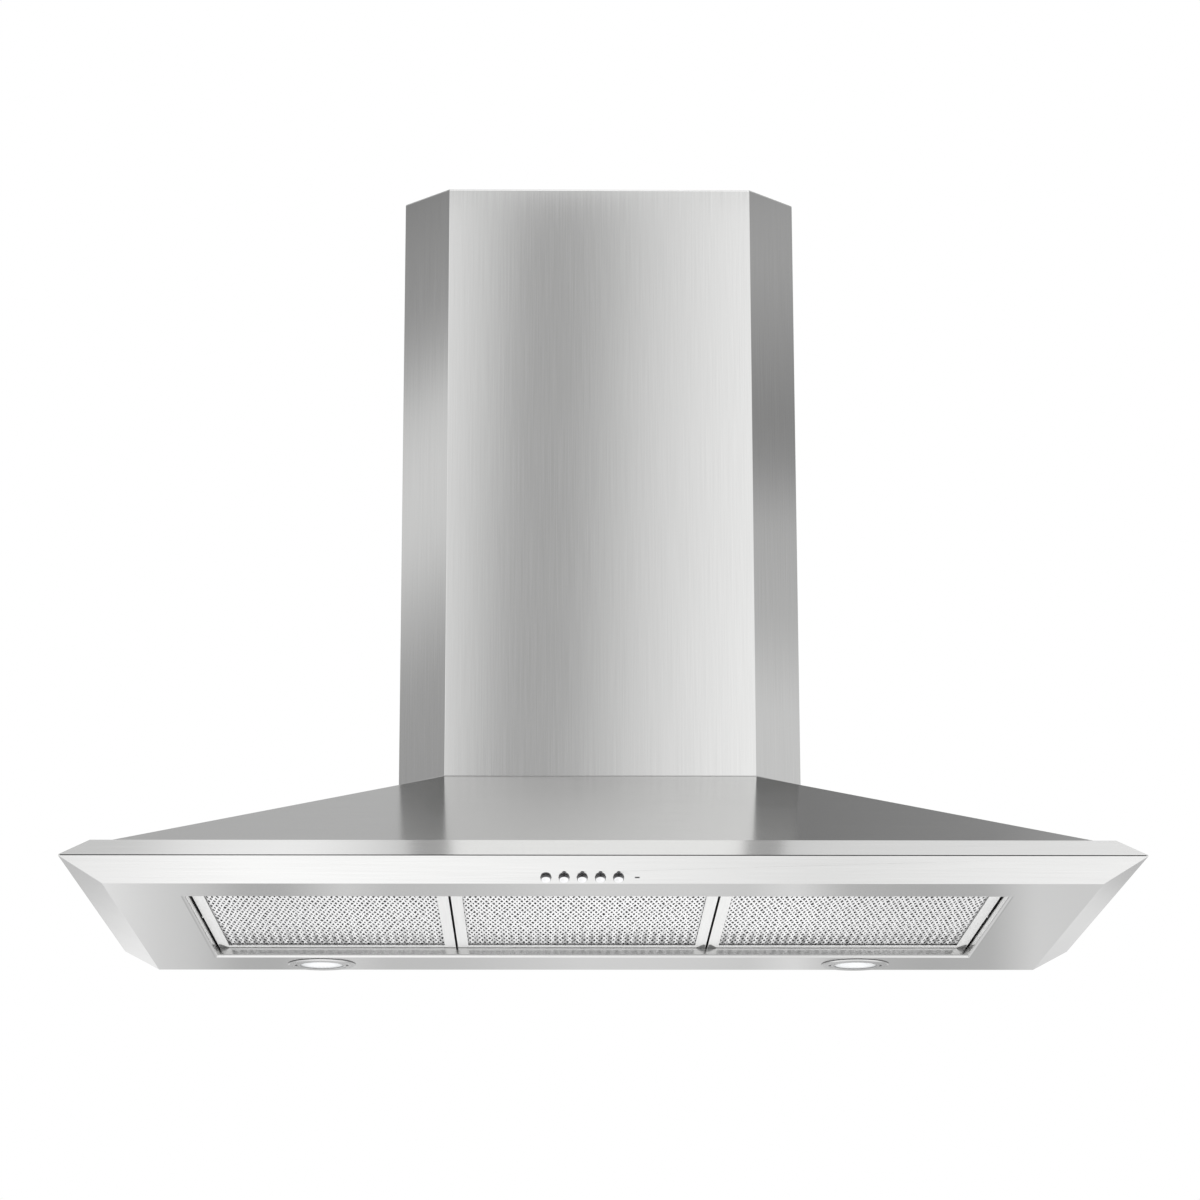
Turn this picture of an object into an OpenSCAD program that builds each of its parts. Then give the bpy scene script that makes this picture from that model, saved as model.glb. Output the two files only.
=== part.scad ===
// Wall-mounted canopy range hood, seen from the wall: x to the right, y into the wall, z up.
// The origin is on the wall face, at the middle of the hood and level with its underside.

/* [Canopy] */
// Width over the rim's tips
hood_w = 900; // [800:1:1000]
// Depth from the wall to the front tip
hood_d = 500; // [480:1:540]
// Height of the rim's tip above the underside
tip_z = 18; // [16:0.5:22]
// How far the fascia leans in from the tip to the underside
fascia_in = 33; // [30:0.5:38]
// How far the rim band leans in above the tip
band_in = 23; // [20:0.5:28]
// Rise of the rim band above the tip
band_rise = 17; // [15:0.5:22]
// Width of the flat ledge on top of the band
ledge_w = 9; // [6:0.5:14]
// Height of the flue's seat above the underside
canopy_z = 130; // [124:1:140]
// Width of the folded flange round the flue's seat
seat_w = 10; // [8:0.5:12]
// Open seam between band and fascia along the tip
seam = 0.8; // [0.4:0.1:1.2]
// Sheet thickness of canopy, underside and flue
sheet = 1; // [0.8:0.1:1.2]

/* [Flue] */
// Width of the lower flue cover
flue_w = 362; // [354:1:370]
// Depth of the lower flue cover
flue_d = 280; // [276:1:290]
// Corner cut of the flue, the same along x and y
flue_cut = 42; // [36:1:45]
// Height of the lower flue cover's top edge
flue_top = 685; // [640:1:720]
// Distance between the two flue covers
flue_gap = 2.5; // [2.4:0.1:3]
// How far the upper cover's top lies below the lower one's at rest
upper_drop = 5; // [2:0.5:10]
// How far the upper cover's bottom edge lies above the flue's seat
upper_rise = 16; // [14:0.5:30]
// Width of the return flanges at the back of the lower cover
return_w = 12; // [10:0.5:14]

/* [Underside] */
// Opening's left edge, from the left tip
open_left_in = 95.5; // [90:0.5:110]
// Opening's right edge, from the right tip
open_right_in = 104; // [95:0.5:115]
// Opening's front edge, behind the front tip
open_front = 97; // [90:1:110]
// Opening's back edge, in front of the wall
open_back = 75; // [74:0.5:85]
// Height of the recess walls
well_h = 10; // [9:0.5:12]
// Rounding of the recess's lower edge
well_r = 3; // [2:0.5:4]

/* [Filters] */
// Width of the left filter
filter_left_w = 220.5; // [215:0.5:225]
// Width of the middle filter
filter_middle_w = 231; // [225:0.5:235]
// Gap between two filters
filter_gap = 2; // [1.5:0.1:3]
// Clearance of the filters to the recess's side walls and front wall
filter_clear = 1.5; // [1:0.1:2]
// Clearance of the filters to the recess's back wall, for the swing
filter_back = 2.3; // [2.2:0.1:3]
// Height of a filter's underside above the hood's underside
filter_z = 9; // [8:0.5:9]
// Thickness of a filter's frame
filter_t = 9; // [8:0.5:12]
// Width of the frame's flat rim
filter_rim = 10; // [8:0.5:14]

/* [Controls] */
// Middle of the five buttons, from the hood's middle
button_x = -18; // [-40:1:20]
// Distance between two buttons
button_pitch = 15.1; // [13:0.1:17]
// Distance of the buttons from the fascia's upper edge, along the slope
button_drop = 29; // [27:0.5:30]
// Button diameter
button_d = 8.6; // [7.6:0.1:9]
// How far a button stands out of the fascia
button_out = 2.5; // [2.2:0.1:3.5]
// Distance of the indicators above the buttons, along the slope
indicator_up = 6.8; // [6.6:0.1:7.5]
// Indicator diameter
indicator_d = 2.8; // [2:0.1:3]
// Distance of the pilot light from the middle button
pilot_x = 45.7; // [42:0.1:50]

/* [Lamps] */
// Distance of the left lamp from the rim's left tip
lamp_left_in = 190; // [170:1:220]
// Distance of the right lamp from the rim's right tip
lamp_right_in = 206; // [170:1:220]
// Distance of the lamps from the wall
lamp_y = 35; // [34:0.5:37]
// Outer diameter of the lamp's bezel
bezel_d = 64; // [62:0.5:66]
// Visible diameter of the lamp's glass
glass_d = 40; // [36:0.5:42]
// Height of the lamp's cup
cup_h = 30; // [24:1:36]

/* [Blower] */
// Outer diameter of the impeller
impeller_d = 148; // [140:1:150]
// Width of the impeller
impeller_w = 130; // [110:1:132]
// Number of blades
blades = 36; // [30:1:42]
// Outer diameter of the duct outlet
outlet_d = 149; // [145:1:150]
// Height of the duct outlet above its flange
outlet_h = 55; // [50:1:70]
// Room between the flue's sides and the air box
box_room = 31; // [28:0.5:34]
// Top of the air box above the underside
box_top = 400; // [395:1:410]
// Motor diameter
motor_d = 88; // [80:1:92]
// Shaft diameter
shaft_d = 8; // [6:0.5:10]

/* [Wall fixings] */
// Distance between the two keyholes
key_spacing = 240; // [200:1:260]
// Height of the keyholes' upper ends
key_z = 104; // [98:1:106]
// Distance between the two safety holes
safe_spacing = 600; // [560:1:640]
// Height of the safety holes
safe_z = 50; // [46:1:60]
// Radius of the wall screws' holes
screw_r = 3; // [2.5:0.1:3.5]
// Distance between the wall holes of the flue's bracket
bracket_spacing = 200; // [160:1:240]

/* [Hidden] */
$fn = 48;

// Clearance round fixed pieces, and between pieces that move past each other
fit = 0.15;
run = 0.3;
// Extra length of cutting bodies
cut = 1;

// Rim: heights of the band's lower edge, the fascia's upper edge and the ledge
band_z = tip_z + seam / 2;
fascia_z = tip_z - seam / 2;
rim_z = tip_z + band_rise;
foot_in = band_in + ledge_w;
half_w = hood_w / 2;
canopy_rise = canopy_z - rim_z;
front_run = hood_d - foot_in - flue_d;
side_run = half_w - foot_in - flue_w / 2;
corner_run = (front_run + side_run + flue_cut) / sqrt(2);
lip_h = 8;

// Flue
flue_half = flue_w / 2;
upper_off = sheet + flue_gap;
upper_top = flue_top - upper_drop;
upper_bottom = canopy_z + upper_rise;
upper_back = 2;
plate_t = 1.2;
plate_off = sheet + 0.4;
plate_back = 1.5;
plate_lip = 12;
guide_w = 20;
guide_h = 20;
guide_drop = 10;
guide_x = 80;
guide_y = 120;

// Bracket of the upper cover
bracket_t = 1.5;
bracket_h = 25;
bracket_ear = 33;
bracket_screw_y = 22;
bracket_z = upper_top - bracket_h / 2;
small_screw_r = 2;

// Filters, from the opening's edges
open_left = half_w - open_left_in;
open_right = half_w - open_right_in;
open_front_y = -(hood_d - open_front);
filter_y0 = open_front_y + filter_clear;
filter_y1 = -open_back - filter_back;
filter_x0 = -open_left + filter_clear;
filter_x1 = filter_x0 + filter_left_w + filter_gap;
filter_x2 = filter_x1 + filter_middle_w + filter_gap;
filter_right_w = open_right - filter_clear - filter_x2;
frame_t = 1;
mesh_t = 0.5;
mesh_gap = 1.6;
mesh_pitch = 8;
mesh_wave = 3.2;
lug_size = [12, 8, 1.5];
lug_in = 40;
lug_gap = 0.8;
case_size = [70, 26, 7];
latch_w = 40;
latch_t = 1.5;
latch_z = filter_z + frame_t + run;
latch_reach = 1.45;
nose_slope = 55;
nose_rise = latch_reach * tan(nose_slope);
nose_t = 1.1;
latch_travel = 6;
latch_room = 9.5;
tab_y = filter_y0 + case_size[1] - frame_t - latch_room;
grip_w = 28;
grip_h = 5.5;
grip_t = 1.5;
grip_y = filter_y0 + 8.5;
spring_r = 1.6;
spring_wire = 0.5;
spring_turns = 6;
spring_z = latch_z + 2.3;

// Controls on the fascia's slope
fascia_a = atan(fascia_z / fascia_in);
collar_r = button_d / 2 + 0.7;
housing_t = 1;
housing_floor = 1.5;
housing_depth = 20;
housing_z = -sheet - 0.1;
housing_x0 = -2 * button_pitch - 9;
housing_x1 = pilot_x + 7;
housing_y0 = -collar_r - run - housing_t;
housing_y1 = indicator_up + 5;
pilot_size = [3.6, 1.4];
board_t = 1.6;
board_z = -18;
switch_size = 9;
switch_top = -12;
stem_r = 1.8;
stem_in = 0.6;
button_travel = 2;

// Lamps
lamp_left_x = half_w - lamp_left_in;
lamp_right_x = half_w - lamp_right_in;
glass_t = 2;
glass_seat_r = glass_d / 2 + 1.7;
bezel_t = 1.5;
cup_r = bezel_d / 2 - 4.4;
cup_t = 1.2;
lamp_hole_r = cup_r - cup_t + 0.6;
bulb_base_r = 5.8;

// Air box and blower
box_z = canopy_z + plate_t;
box_back = 4;
box_front = 246;
box_w = flue_w - 2 * box_room;
box_flange = 10;
box_t = 1;
tab_w = 12;
shell_t = 2;
impeller_r = impeller_d / 2;
volute_s = 6;
volute_r = impeller_r + volute_s + 6;
volute_y = -(box_back + box_t + 6 + shell_t + volute_r + volute_s);
volute_z = box_z + 10 + shell_t + volute_r + 3 * volute_s;
volute_half = impeller_w / 2 + 5;
throat_back = -15;
throat_front = volute_r + 5 * volute_s + 9;
throat_bend = 70;
hang_ear = 14;
hang_y = 66;
bell_r = 3;
housing_top = box_top - box_t;
inlet_r = impeller_r - 8;
boss_r = 4;
boss_half = 14;
blade_in = 14;
blade_t = 1;
blade_r = 10;
disc_t = 2;
hub_r = 13;
hub_back = 6;
hub_front = 12;
nut_h = 5;
shaft_clear = 0.05;
motor_back = -(volute_half + shell_t + boss_r);
motor_front = -12;
motor_nose = -8;
arm_t = 2.5;
arm_w = 10;
arm_r = impeller_r + 6;

// Outlet collar and damper flaps
outlet_y = volute_y - (throat_front + throat_back) / 2;
outlet_r = outlet_d / 2;
outlet_t = 2;
collar_flange = 2.5;
collar_r2 = outlet_r + 9.5;
collar_screw_r = outlet_r + 5.3;
throat_hole_r = outlet_r - 6.5;
flap_z = box_top + 25;
flap_t = 1.5;
flap_pin_r = 2;
flap_pin_y = 4;
flap_barrel_r = 3;
flap_r = outlet_r - outlet_t - 0.6;

// Electrics on the back panel
control_x = 160;
control_w = 90;
control_z = 42;
control_h = 53;
control_d = 41;
control_t = 2;
bush_x = 110;
bush_y = -259;
bush_r = 5;
bush_bore = 3.2;
capacitor_x = -60;
capacitor_y = 18;
capacitor_z = 66;
capacitor_r = 15;
capacitor_l = 60;

steel = [0.78, 0.78, 0.77];
steel_dark = [0.66, 0.66, 0.66];
zinc = [0.62, 0.64, 0.66];
aluminium = [0.85, 0.85, 0.85];
black = [0.12, 0.12, 0.13];
white = [0.95, 0.95, 0.93];

// Sideways shift of a sloping face whose sheet is t thick
function shift(rise, width, t) = t * sqrt(rise * rise + width * width) / rise;
// Inset of a sloping face at height z: foot, start height, rise, width of the slope, sheet
function slope_in(z, foot, z0, rise, width, t) = foot + (z - z0) * width / rise + shift(rise, width, t);
function side_in(z, t) = slope_in(z, foot_in, rim_z, canopy_rise, side_run, t);
function front_in(z, t) = slope_in(z, foot_in, rim_z, canopy_rise, front_run, t);
function band_at(z, t) = slope_in(z, 0, band_z, rim_z - band_z, band_in, t);
function fascia_at(z, t) = fascia_in - z * fascia_in / fascia_z + shift(fascia_z, fascia_in, t);
function reversed(p) = [for (i = [len(p) - 1 : -1 : 0]) p[i]];

// Profile in y and z, drawn out along x
module along_x(points, w) {
    rotate([90, 0, 90])
        linear_extrude(w, center = true)
            polygon(points);
}

// Profile in x and z, drawn out from y0 to y1
module along_y(points, y0, y1) {
    translate([0, y1, 0])
        rotate([90, 0, 0])
            linear_extrude(y1 - y0)
                polygon(points);
}

// Body with mitred corners whose inset from the rim's tip changes with height
module mitred(path, back) {
    front = [for (p = path) [-hood_d + p[0], p[1]]];
    left = [for (p = path) [-half_w + p[0], p[1]]];
    right = [for (p = reversed(path)) [half_w - p[0], p[1]]];
    intersection() {
        along_x(concat(front, [[back, path[len(path) - 1][1]], [back, path[0][1]]]), hood_w + 2 * cut);
        along_y(concat(left, right), -hood_d - cut, back);
    }
}

// Half space behind a cut corner of the canopy, between heights z0 and z1
module behind_corner(side, z0, z1, s0, s1) {
    rotate([0, 0, side * 45])
        along_x([[-s0, z0], [-s1, z1], [hood_w, z1], [hood_w, z0]], 3 * hood_w);
}

// Pyramid of the canopy with its cut corners, t inside the outer face
module pyramid(t, z0, z1, back) {
    foot = (half_w - foot_in + hood_d - foot_in) / sqrt(2);
    s0 = foot - slope_in(z0, 0, rim_z, canopy_rise, corner_run, t);
    s1 = foot - slope_in(z1, 0, rim_z, canopy_rise, corner_run, t);
    intersection() {
        along_x([
            [-hood_d + front_in(z0, t), z0],
            [-hood_d + front_in(z1, t), z1],
            [back, z1],
            [back, z0]
        ], hood_w);
        along_y([
            [-half_w + side_in(z0, t), z0],
            [-half_w + side_in(z1, t), z1],
            [half_w - side_in(z1, t), z1],
            [half_w - side_in(z0, t), z0]
        ], -hood_d, back);
        behind_corner(1, z0, z1, s0, s1);
        behind_corner(-1, z0, z1, s0, s1);
    }
}

// Outline of the flue, off inside its outer face, from its left back corner round the front
function flue_path(off, back) =
    let (
        k = sqrt(2) - 1,
        side = flue_half - off,
        side_y = -(flue_d - flue_cut - k * off),
        nose = flue_half - flue_cut - k * off,
        front = -(flue_d - off)
    )
    [
        [-side, back], [-side, side_y], [-nose, front],
        [nose, front], [side, side_y], [side, back]
    ];

module flue_section(off, back) {
    polygon(flue_path(off, back));
}

// Recess in the underside with its rounded lower edge, off outside its walls
module recess(off, z0, z1) {
    r = well_r - off;
    steps = 5;
    arc = [for (i = [0 : steps]) let (a = 90 * i / steps) [well_r - r * sin(a), well_r - r * cos(a)]];
    edge = concat([[well_r, z0]], arc, [[well_r - r, z1]]);
    intersection() {
        along_x(concat(
            [for (p = edge) [open_front_y - p[0], p[1]]],
            [for (p = reversed(edge)) [-open_back + p[0], p[1]]]
        ), hood_w);
        along_y(concat(
            [for (p = edge) [-open_left - p[0], p[1]]],
            [for (p = reversed(edge)) [open_right + p[0], p[1]]]
        ), -hood_d, 0);
    }
}

// Places children on the fascia: x along it, y up its slope, z out of it, at the middle button
module on_fascia() {
    translate([
        button_x,
        -hood_d + button_drop * cos(fascia_a),
        fascia_z - button_drop * sin(fascia_a)
    ])
        rotate([180 - fascia_a, 0, 0])
            children();
}

module at_buttons() {
    for (i = [-2 : 2])
        translate([i * button_pitch, 0, 0])
            children();
}

// The first button has no indicator
module at_indicators() {
    for (i = [-1 : 2])
        translate([i * button_pitch, indicator_up, 0])
            children();
}

// Slit for the pilot light's guide, h deep about the fascia's face
module pilot_slit(h) {
    translate([pilot_x, 0, 0])
        cube([pilot_size[0] + 2 * fit, pilot_size[1] + 2 * fit, h], center = true);
}

module at_lamps() {
    for (x = [-lamp_left_x, lamp_right_x])
        translate([x, -lamp_y, 0])
            children();
}

// Screw whose head sits on z = 0 and whose shank goes down
module pan_screw(length) {
    head_h = 1.7;
    head_r = small_screw_r + 1.7;
    slot = 0.7;
    difference() {
        union() {
            cylinder(h = head_h, r1 = head_r, r2 = head_r - 0.8, $fn = 24);
            translate([0, 0, -length])
                cylinder(h = length + head_h / 2, r = small_screw_r - 0.1, $fn = 24);
        }
        for (a = [0, 90])
            rotate([0, 0, a])
                translate([0, 0, head_h])
                    cube([head_r, slot, head_h], center = true);
    }
}

// Canopy: rim band, ledge, pyramid and the flange round the flue's seat, one folded sheet
module canopy_shell() {
    color(steel)
        difference() {
            union() {
                mitred([[0, band_z], [band_in, rim_z]], 0);
                pyramid(0, rim_z - sheet / 2, canopy_z, 0);
            }
            mitred([
                [band_at(band_z - cut, sheet), band_z - cut],
                [band_at(rim_z - sheet, sheet), rim_z - sheet]
            ], cut);
            pyramid(sheet, rim_z - 2 * sheet, canopy_z - sheet, cut);
            translate([0, 0, canopy_z - sheet - cut])
                linear_extrude(sheet + 2 * cut)
                    flue_section(seat_w, cut);
        }
}

// Underside: fascia on three sides, flat panel, recess for the filters and a lip behind the band
module underside_pan() {
    lip_z0 = fascia_z - seam / 4;
    lip_z1 = tip_z + lip_h;
    color(steel)
        difference() {
            union() {
                difference() {
                    mitred([[fascia_in, 0], [0, fascia_z]], 0);
                    mitred([
                        [fascia_at(sheet, sheet), sheet],
                        [fascia_at(fascia_z + cut, sheet), fascia_z + cut]
                    ], cut);
                }
                difference() {
                    mitred([
                        [band_at(lip_z0, sheet + fit), lip_z0],
                        [band_at(lip_z1, sheet + fit), lip_z1]
                    ], 0);
                    mitred([
                        [band_at(lip_z0 - cut, 2 * sheet + fit), lip_z0 - cut],
                        [band_at(lip_z1 + cut, 2 * sheet + fit), lip_z1 + cut]
                    ], cut);
                }
                recess(sheet, sheet / 2, well_h);
            }
            recess(0, -cut, well_h + cut);
            at_lamps()
                translate([0, 0, -cut])
                    cylinder(h = sheet + 2 * cut, r = lamp_hole_r);
            on_fascia() {
                at_buttons()
                    cylinder(h = 2 * sheet + 2 * cut, r = button_d / 2 + run, center = true);
                at_indicators()
                    cylinder(h = 2 * sheet + 2 * cut, r = indicator_d / 2 + fit, center = true);
                pilot_slit(2 * sheet + 2 * cut);
            }
        }
}

// Slot whose upper end holds the screw, with a wider hole for the screw's head below
module keyhole() {
    drop = 3 * screw_r;
    circle(r = screw_r);
    translate([-screw_r, -drop])
        square([2 * screw_r, drop]);
    translate([0, -drop])
        circle(r = 1.9 * screw_r);
}

// Back panel with two keyholes and two safety holes for the wall screws
module back_panel() {
    foot = half_w - side_in(rim_z - sheet, sheet) - 2;
    head = half_w - side_in(canopy_z - sheet, sheet) - 2;
    color(zinc)
        difference() {
            along_y([
                [-foot, sheet], [-foot, rim_z - sheet], [-head, canopy_z - sheet],
                [head, canopy_z - sheet], [foot, rim_z - sheet], [foot, sheet]
            ], -plate_t, 0);
            for (side = [-1, 1]) {
                translate([side * key_spacing / 2, cut, key_z])
                    rotate([90, 0, 0])
                        linear_extrude(plate_t + 2 * cut)
                            keyhole();
                translate([side * safe_spacing / 2, cut, safe_z])
                    rotate([90, 0, 0])
                        cylinder(h = plate_t + 2 * cut, r = screw_r);
            }
        }
}

// Plate on the canopy's flange: it locates the flue cover and carries the air box
module top_plate() {
    color(zinc)
        difference() {
            translate([0, 0, canopy_z])
                difference() {
                    linear_extrude(plate_lip)
                        flue_section(plate_off, -plate_back);
                    translate([0, 0, plate_t])
                        linear_extrude(plate_lip)
                            flue_section(plate_off + plate_t, cut);
                }
            translate([-box_w / 2 + 10, -box_front + 10, canopy_z - cut])
                cube([box_w - 20, box_front - box_back - 20, plate_t + 2 * cut]);
            translate([bush_x, bush_y, canopy_z - cut])
                cylinder(h = plate_t + 2 * cut, r = bush_r + fit);
            at_flange_screws()
                translate([0, 0, canopy_z - cut])
                    cylinder(h = plate_t + 2 * cut, r = small_screw_r);
        }
}

// Lower flue cover: five folded faces, open to the wall, with return flanges at the back
module lower_flue_cover() {
    flange = flue_half - return_w;
    color(steel)
        translate([0, 0, canopy_z])
            linear_extrude(flue_top - canopy_z)
                polygon(concat(
                    flue_path(0, 0),
                    [[flange, 0], [flange, -sheet]],
                    reversed(flue_path(sheet, -sheet)),
                    [[-flange, -sheet], [-flange, 0]]
                ));
}

// Nylon pads on the lower cover that the upper cover slides along
module flue_guides() {
    pad = flue_gap - run;
    color(white)
        translate([0, 0, flue_top - guide_drop - guide_h])
            for (side = [0, 1])
                mirror([side, 0, 0]) {
                    translate([flue_half - sheet - pad, -guide_y, 0])
                        cube([pad, guide_w, guide_h]);
                    translate([guide_x, -flue_d + sheet, 0])
                        cube([guide_w, pad, guide_h]);
                }
}

// Side screws of the bracket: z points out of the upper cover, from its outer face
module at_bracket_screws() {
    for (side = [0, 1])
        mirror([side, 0, 0])
            translate([flue_half - upper_off, -bracket_screw_y, bracket_z])
                rotate([0, 90, 0])
                    children();
}

// Upper flue cover, pushed down into the lower one
module upper_flue_cover() {
    color(steel)
        difference() {
            translate([0, 0, upper_bottom])
                linear_extrude(upper_top - upper_bottom)
                    difference() {
                        flue_section(upper_off, -upper_back);
                        flue_section(upper_off + sheet, cut);
                    }
            at_bracket_screws()
                cylinder(h = 4 * sheet, r = small_screw_r, center = true);
        }
}

// Wall bracket of the upper cover: a web on the wall, joggled round the return flanges to two ears
module upper_flue_bracket() {
    web = flue_half - return_w - run;
    ear = flue_half - upper_off - sheet - fit;
    joggle = upper_back + bracket_t;
    color(zinc)
        difference() {
            translate([0, 0, bracket_z - bracket_h / 2])
                linear_extrude(bracket_h) {
                    translate([-web, -bracket_t])
                        square([2 * web, bracket_t]);
                    for (side = [0, 1])
                        mirror([side, 0]) {
                            translate([web - bracket_t, -joggle])
                                square([bracket_t, joggle]);
                            translate([web - bracket_t, -joggle])
                                square([ear - web + bracket_t, bracket_t]);
                            translate([ear - bracket_t, -bracket_ear])
                                square([bracket_t, bracket_ear - upper_back]);
                        }
                }
            for (side = [-1, 1])
                translate([side * bracket_spacing / 2, 0, bracket_z])
                    rotate([90, 0, 0])
                        cylinder(h = 4 * bracket_t, r = screw_r, center = true);
            at_bracket_screws()
                cylinder(h = 8 * bracket_t, r = small_screw_r, center = true);
        }
}

module upper_flue_screws() {
    color(steel_dark)
        at_bracket_screws()
            pan_screw(6);
}

// Screws of the air box's front, z out of it
module at_front_screws() {
    for (side = [-1, 1], z = [box_z + 30, (box_z + box_top) / 2, box_top - 15])
        translate([side * (box_w - tab_w) / 2, -box_front, z])
            rotate([90, 0, 0])
                children();
}

// Screws through the air box's foot flanges, z up, at height 0
module at_flange_screws() {
    for (side = [-1, 1], y = [60, box_front - 60])
        translate([side * (box_w + box_flange) / 2, -y, 0])
            children();
}

// Screws of the outlet collar, z up from the box's top
module at_collar_screws() {
    for (a = [45 : 90 : 315])
        translate([0, outlet_y, box_top])
            rotate([0, 0, a])
                translate([collar_screw_r, 0, 0])
                    children();
}

// Screws that hang the blower from the box's top
module at_hanging_screws() {
    for (x = [-1, 1], y = [-1, 1])
        translate([x * (volute_half + shell_t + hang_ear / 2), outlet_y + y * hang_y, box_top])
            children();
}

// Air box: back, sides and top of folded sheet, open at the bottom and at the front
module air_box() {
    depth = box_front - box_t - box_back;
    color(zinc)
        difference() {
            union() {
                translate([-box_w / 2, -box_back - depth, box_z])
                    difference() {
                        cube([box_w, depth, box_top - box_z]);
                        translate([box_t, -box_t, -box_t])
                            cube([box_w - 2 * box_t, depth, box_top - box_z]);
                    }
                for (side = [0, 1])
                    mirror([side, 0, 0]) {
                        translate([box_w / 2 - tab_w, -box_front + box_t, box_z + 15])
                            cube([tab_w, box_t, box_top - box_z - 15]);
                        translate([box_w / 2 - box_t, -box_front + 20, box_z])
                            cube([box_flange + box_t, box_front - 40, box_t]);
                    }
            }
            translate([0, outlet_y, box_top])
                cylinder(h = 4 * box_t, r = outlet_r - outlet_t - 2, center = true);
            at_front_screws()
                cylinder(h = 6 * box_t, r = small_screw_r, center = true);
            at_flange_screws()
                translate([0, 0, box_z - cut])
                    cylinder(h = box_t + 2 * cut, r = small_screw_r);
            at_collar_screws()
                cylinder(h = 4 * box_t, r = small_screw_r, center = true);
            at_hanging_screws()
                cylinder(h = 4 * box_t, r = small_screw_r, center = true);
        }
}

module air_box_front() {
    color(zinc)
        difference() {
            translate([-box_w / 2, -box_front, box_z])
                cube([box_w, box_t, box_top - box_z]);
            at_front_screws()
                cylinder(h = 4 * box_t, r = small_screw_r, center = true);
        }
}

module air_box_screws() {
    color(steel_dark) {
        at_front_screws()
            pan_screw(6);
        at_flange_screws()
            translate([0, 0, box_z + box_t])
                pan_screw(6);
    }
}

// Quarter disc about c, on the side that the signs give
module quarter(c, r, x_sign, y_sign) {
    translate(c)
        mirror([x_sign < 0 ? 1 : 0, 0])
            mirror([0, y_sign < 0 ? 1 : 0])
                intersection() {
                    circle(r = r, $fn = 96);
                    square(r);
                }
}

// Volute outline in y and z: three arcs of growing radius, then the throat up to height z1
module volute(off, z1) {
    s = volute_s;
    r = volute_r;
    far = r + 5 * s;
    top = z1 - volute_z;
    translate([volute_y, volute_z])
        mirror([1, 0]) {
            quarter([-s, -s], r + off, -1, 1);
            quarter([s, -s], r + 2 * s + off, -1, -1);
            quarter([s, s], r + 4 * s + off, 1, -1);
            translate([-s, -s])
                square(2 * s);
            polygon([
                [-s - off, 0],
                [-s - off, r - s],
                [throat_back - off, top],
                [throat_front + off, top],
                [far + off, throat_bend],
                [far + off, s],
                [s, s],
                [s, 0]
            ]);
        }
}

// Volute outline drawn out along x
module volute_body(off, z1, w) {
    rotate([90, 0, 90])
        linear_extrude(w, center = true)
            volute(off, z1);
}

// Places children on the blower's axis with z along x
module on_axis() {
    translate([0, volute_y, volute_z])
        rotate([90, 0, 90])
            children();
}

// Clamping bosses round the volute, z along x
module at_bosses() {
    s = volute_s;
    r = volute_r + shell_t + boss_r - fit;
    d = sqrt(0.5);
    for (p = [
        [s + r * d, r * d - s],
        [(r + 2 * s) * d - s, -s - (r + 2 * s) * d],
        [-s - (r + 4 * s) * d, s - (r + 4 * s) * d],
        [-(r + 5 * s), throat_bend - 20]
    ])
        translate([0, volute_y + p[0], volute_z + p[1]])
            rotate([0, 90, 0])
                children();
}

// Feet of the motor's bracket, z along x
module at_arms() {
    for (a = [30, 150, 270])
        on_axis()
            rotate([0, 0, a])
                translate([arm_r, 0, 0])
                    children();
}

// Blower housing with an inlet on each side and a round outlet on top
module blower_housing() {
    difference() {
        union() {
            volute_body(shell_t, housing_top, 2 * (volute_half + shell_t));
            translate([
                -volute_half - shell_t - hang_ear,
                outlet_y - hang_y - hang_ear / 2,
                housing_top - shell_t
            ])
                cube([2 * (volute_half + shell_t + hang_ear), 2 * hang_y + hang_ear, shell_t]);
            for (side = [0, 1])
                mirror([side, 0, 0])
                    on_axis()
                        translate([0, 0, volute_half + shell_t / 2])
                            rotate_extrude()
                                translate([inlet_r + bell_r, 0])
                                    circle(r = bell_r, $fn = 24);
            at_bosses()
                cylinder(h = 2 * boss_half, r = boss_r, center = true, $fn = 24);
            at_arms()
                translate([0, 0, motor_back])
                    cylinder(h = boss_r, r = boss_r, $fn = 24);
        }
        volute_body(0, housing_top - shell_t, 2 * volute_half);
        on_axis()
            cylinder(h = 4 * volute_half, r = inlet_r, center = true);
        translate([0, outlet_y, housing_top - shell_t - cut])
            cylinder(h = shell_t + 2 * cut, r = throat_hole_r);
        at_bosses()
            cylinder(h = 4 * boss_half, r = small_screw_r, center = true, $fn = 24);
        at_arms()
            translate([0, 0, motor_back - cut])
                cylinder(h = boss_r + shell_t + 2 * cut, r = small_screw_r, $fn = 24);
        at_collar_screws()
            cylinder(h = 8 * shell_t, r = small_screw_r, center = true, $fn = 24);
        at_hanging_screws()
            cylinder(h = 8 * shell_t, r = small_screw_r, center = true, $fn = 24);
    }
}

// Half of the blower housing on the side that the sign gives
module blower_half(side) {
    intersection() {
        blower_housing();
        translate([side * box_w / 2, -box_front / 2, box_top / 2])
            cube([box_w, 2 * box_front, box_top], center = true);
    }
}

module blower_housing_left() {
    color(black)
        blower_half(-1);
}

module blower_housing_right() {
    color(black)
        blower_half(1);
}

// Screws of the housing's bosses, of the motor's bracket and of the hanging flange
module blower_screws() {
    color(steel_dark) {
        at_bosses()
            translate([0, 0, boss_half])
                pan_screw(2 * boss_half - 2);
        at_arms()
            translate([0, 0, motor_back - arm_t])
                mirror([0, 0, 1])
                    pan_screw(6);
        at_hanging_screws()
            pan_screw(6);
    }
}

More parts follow.
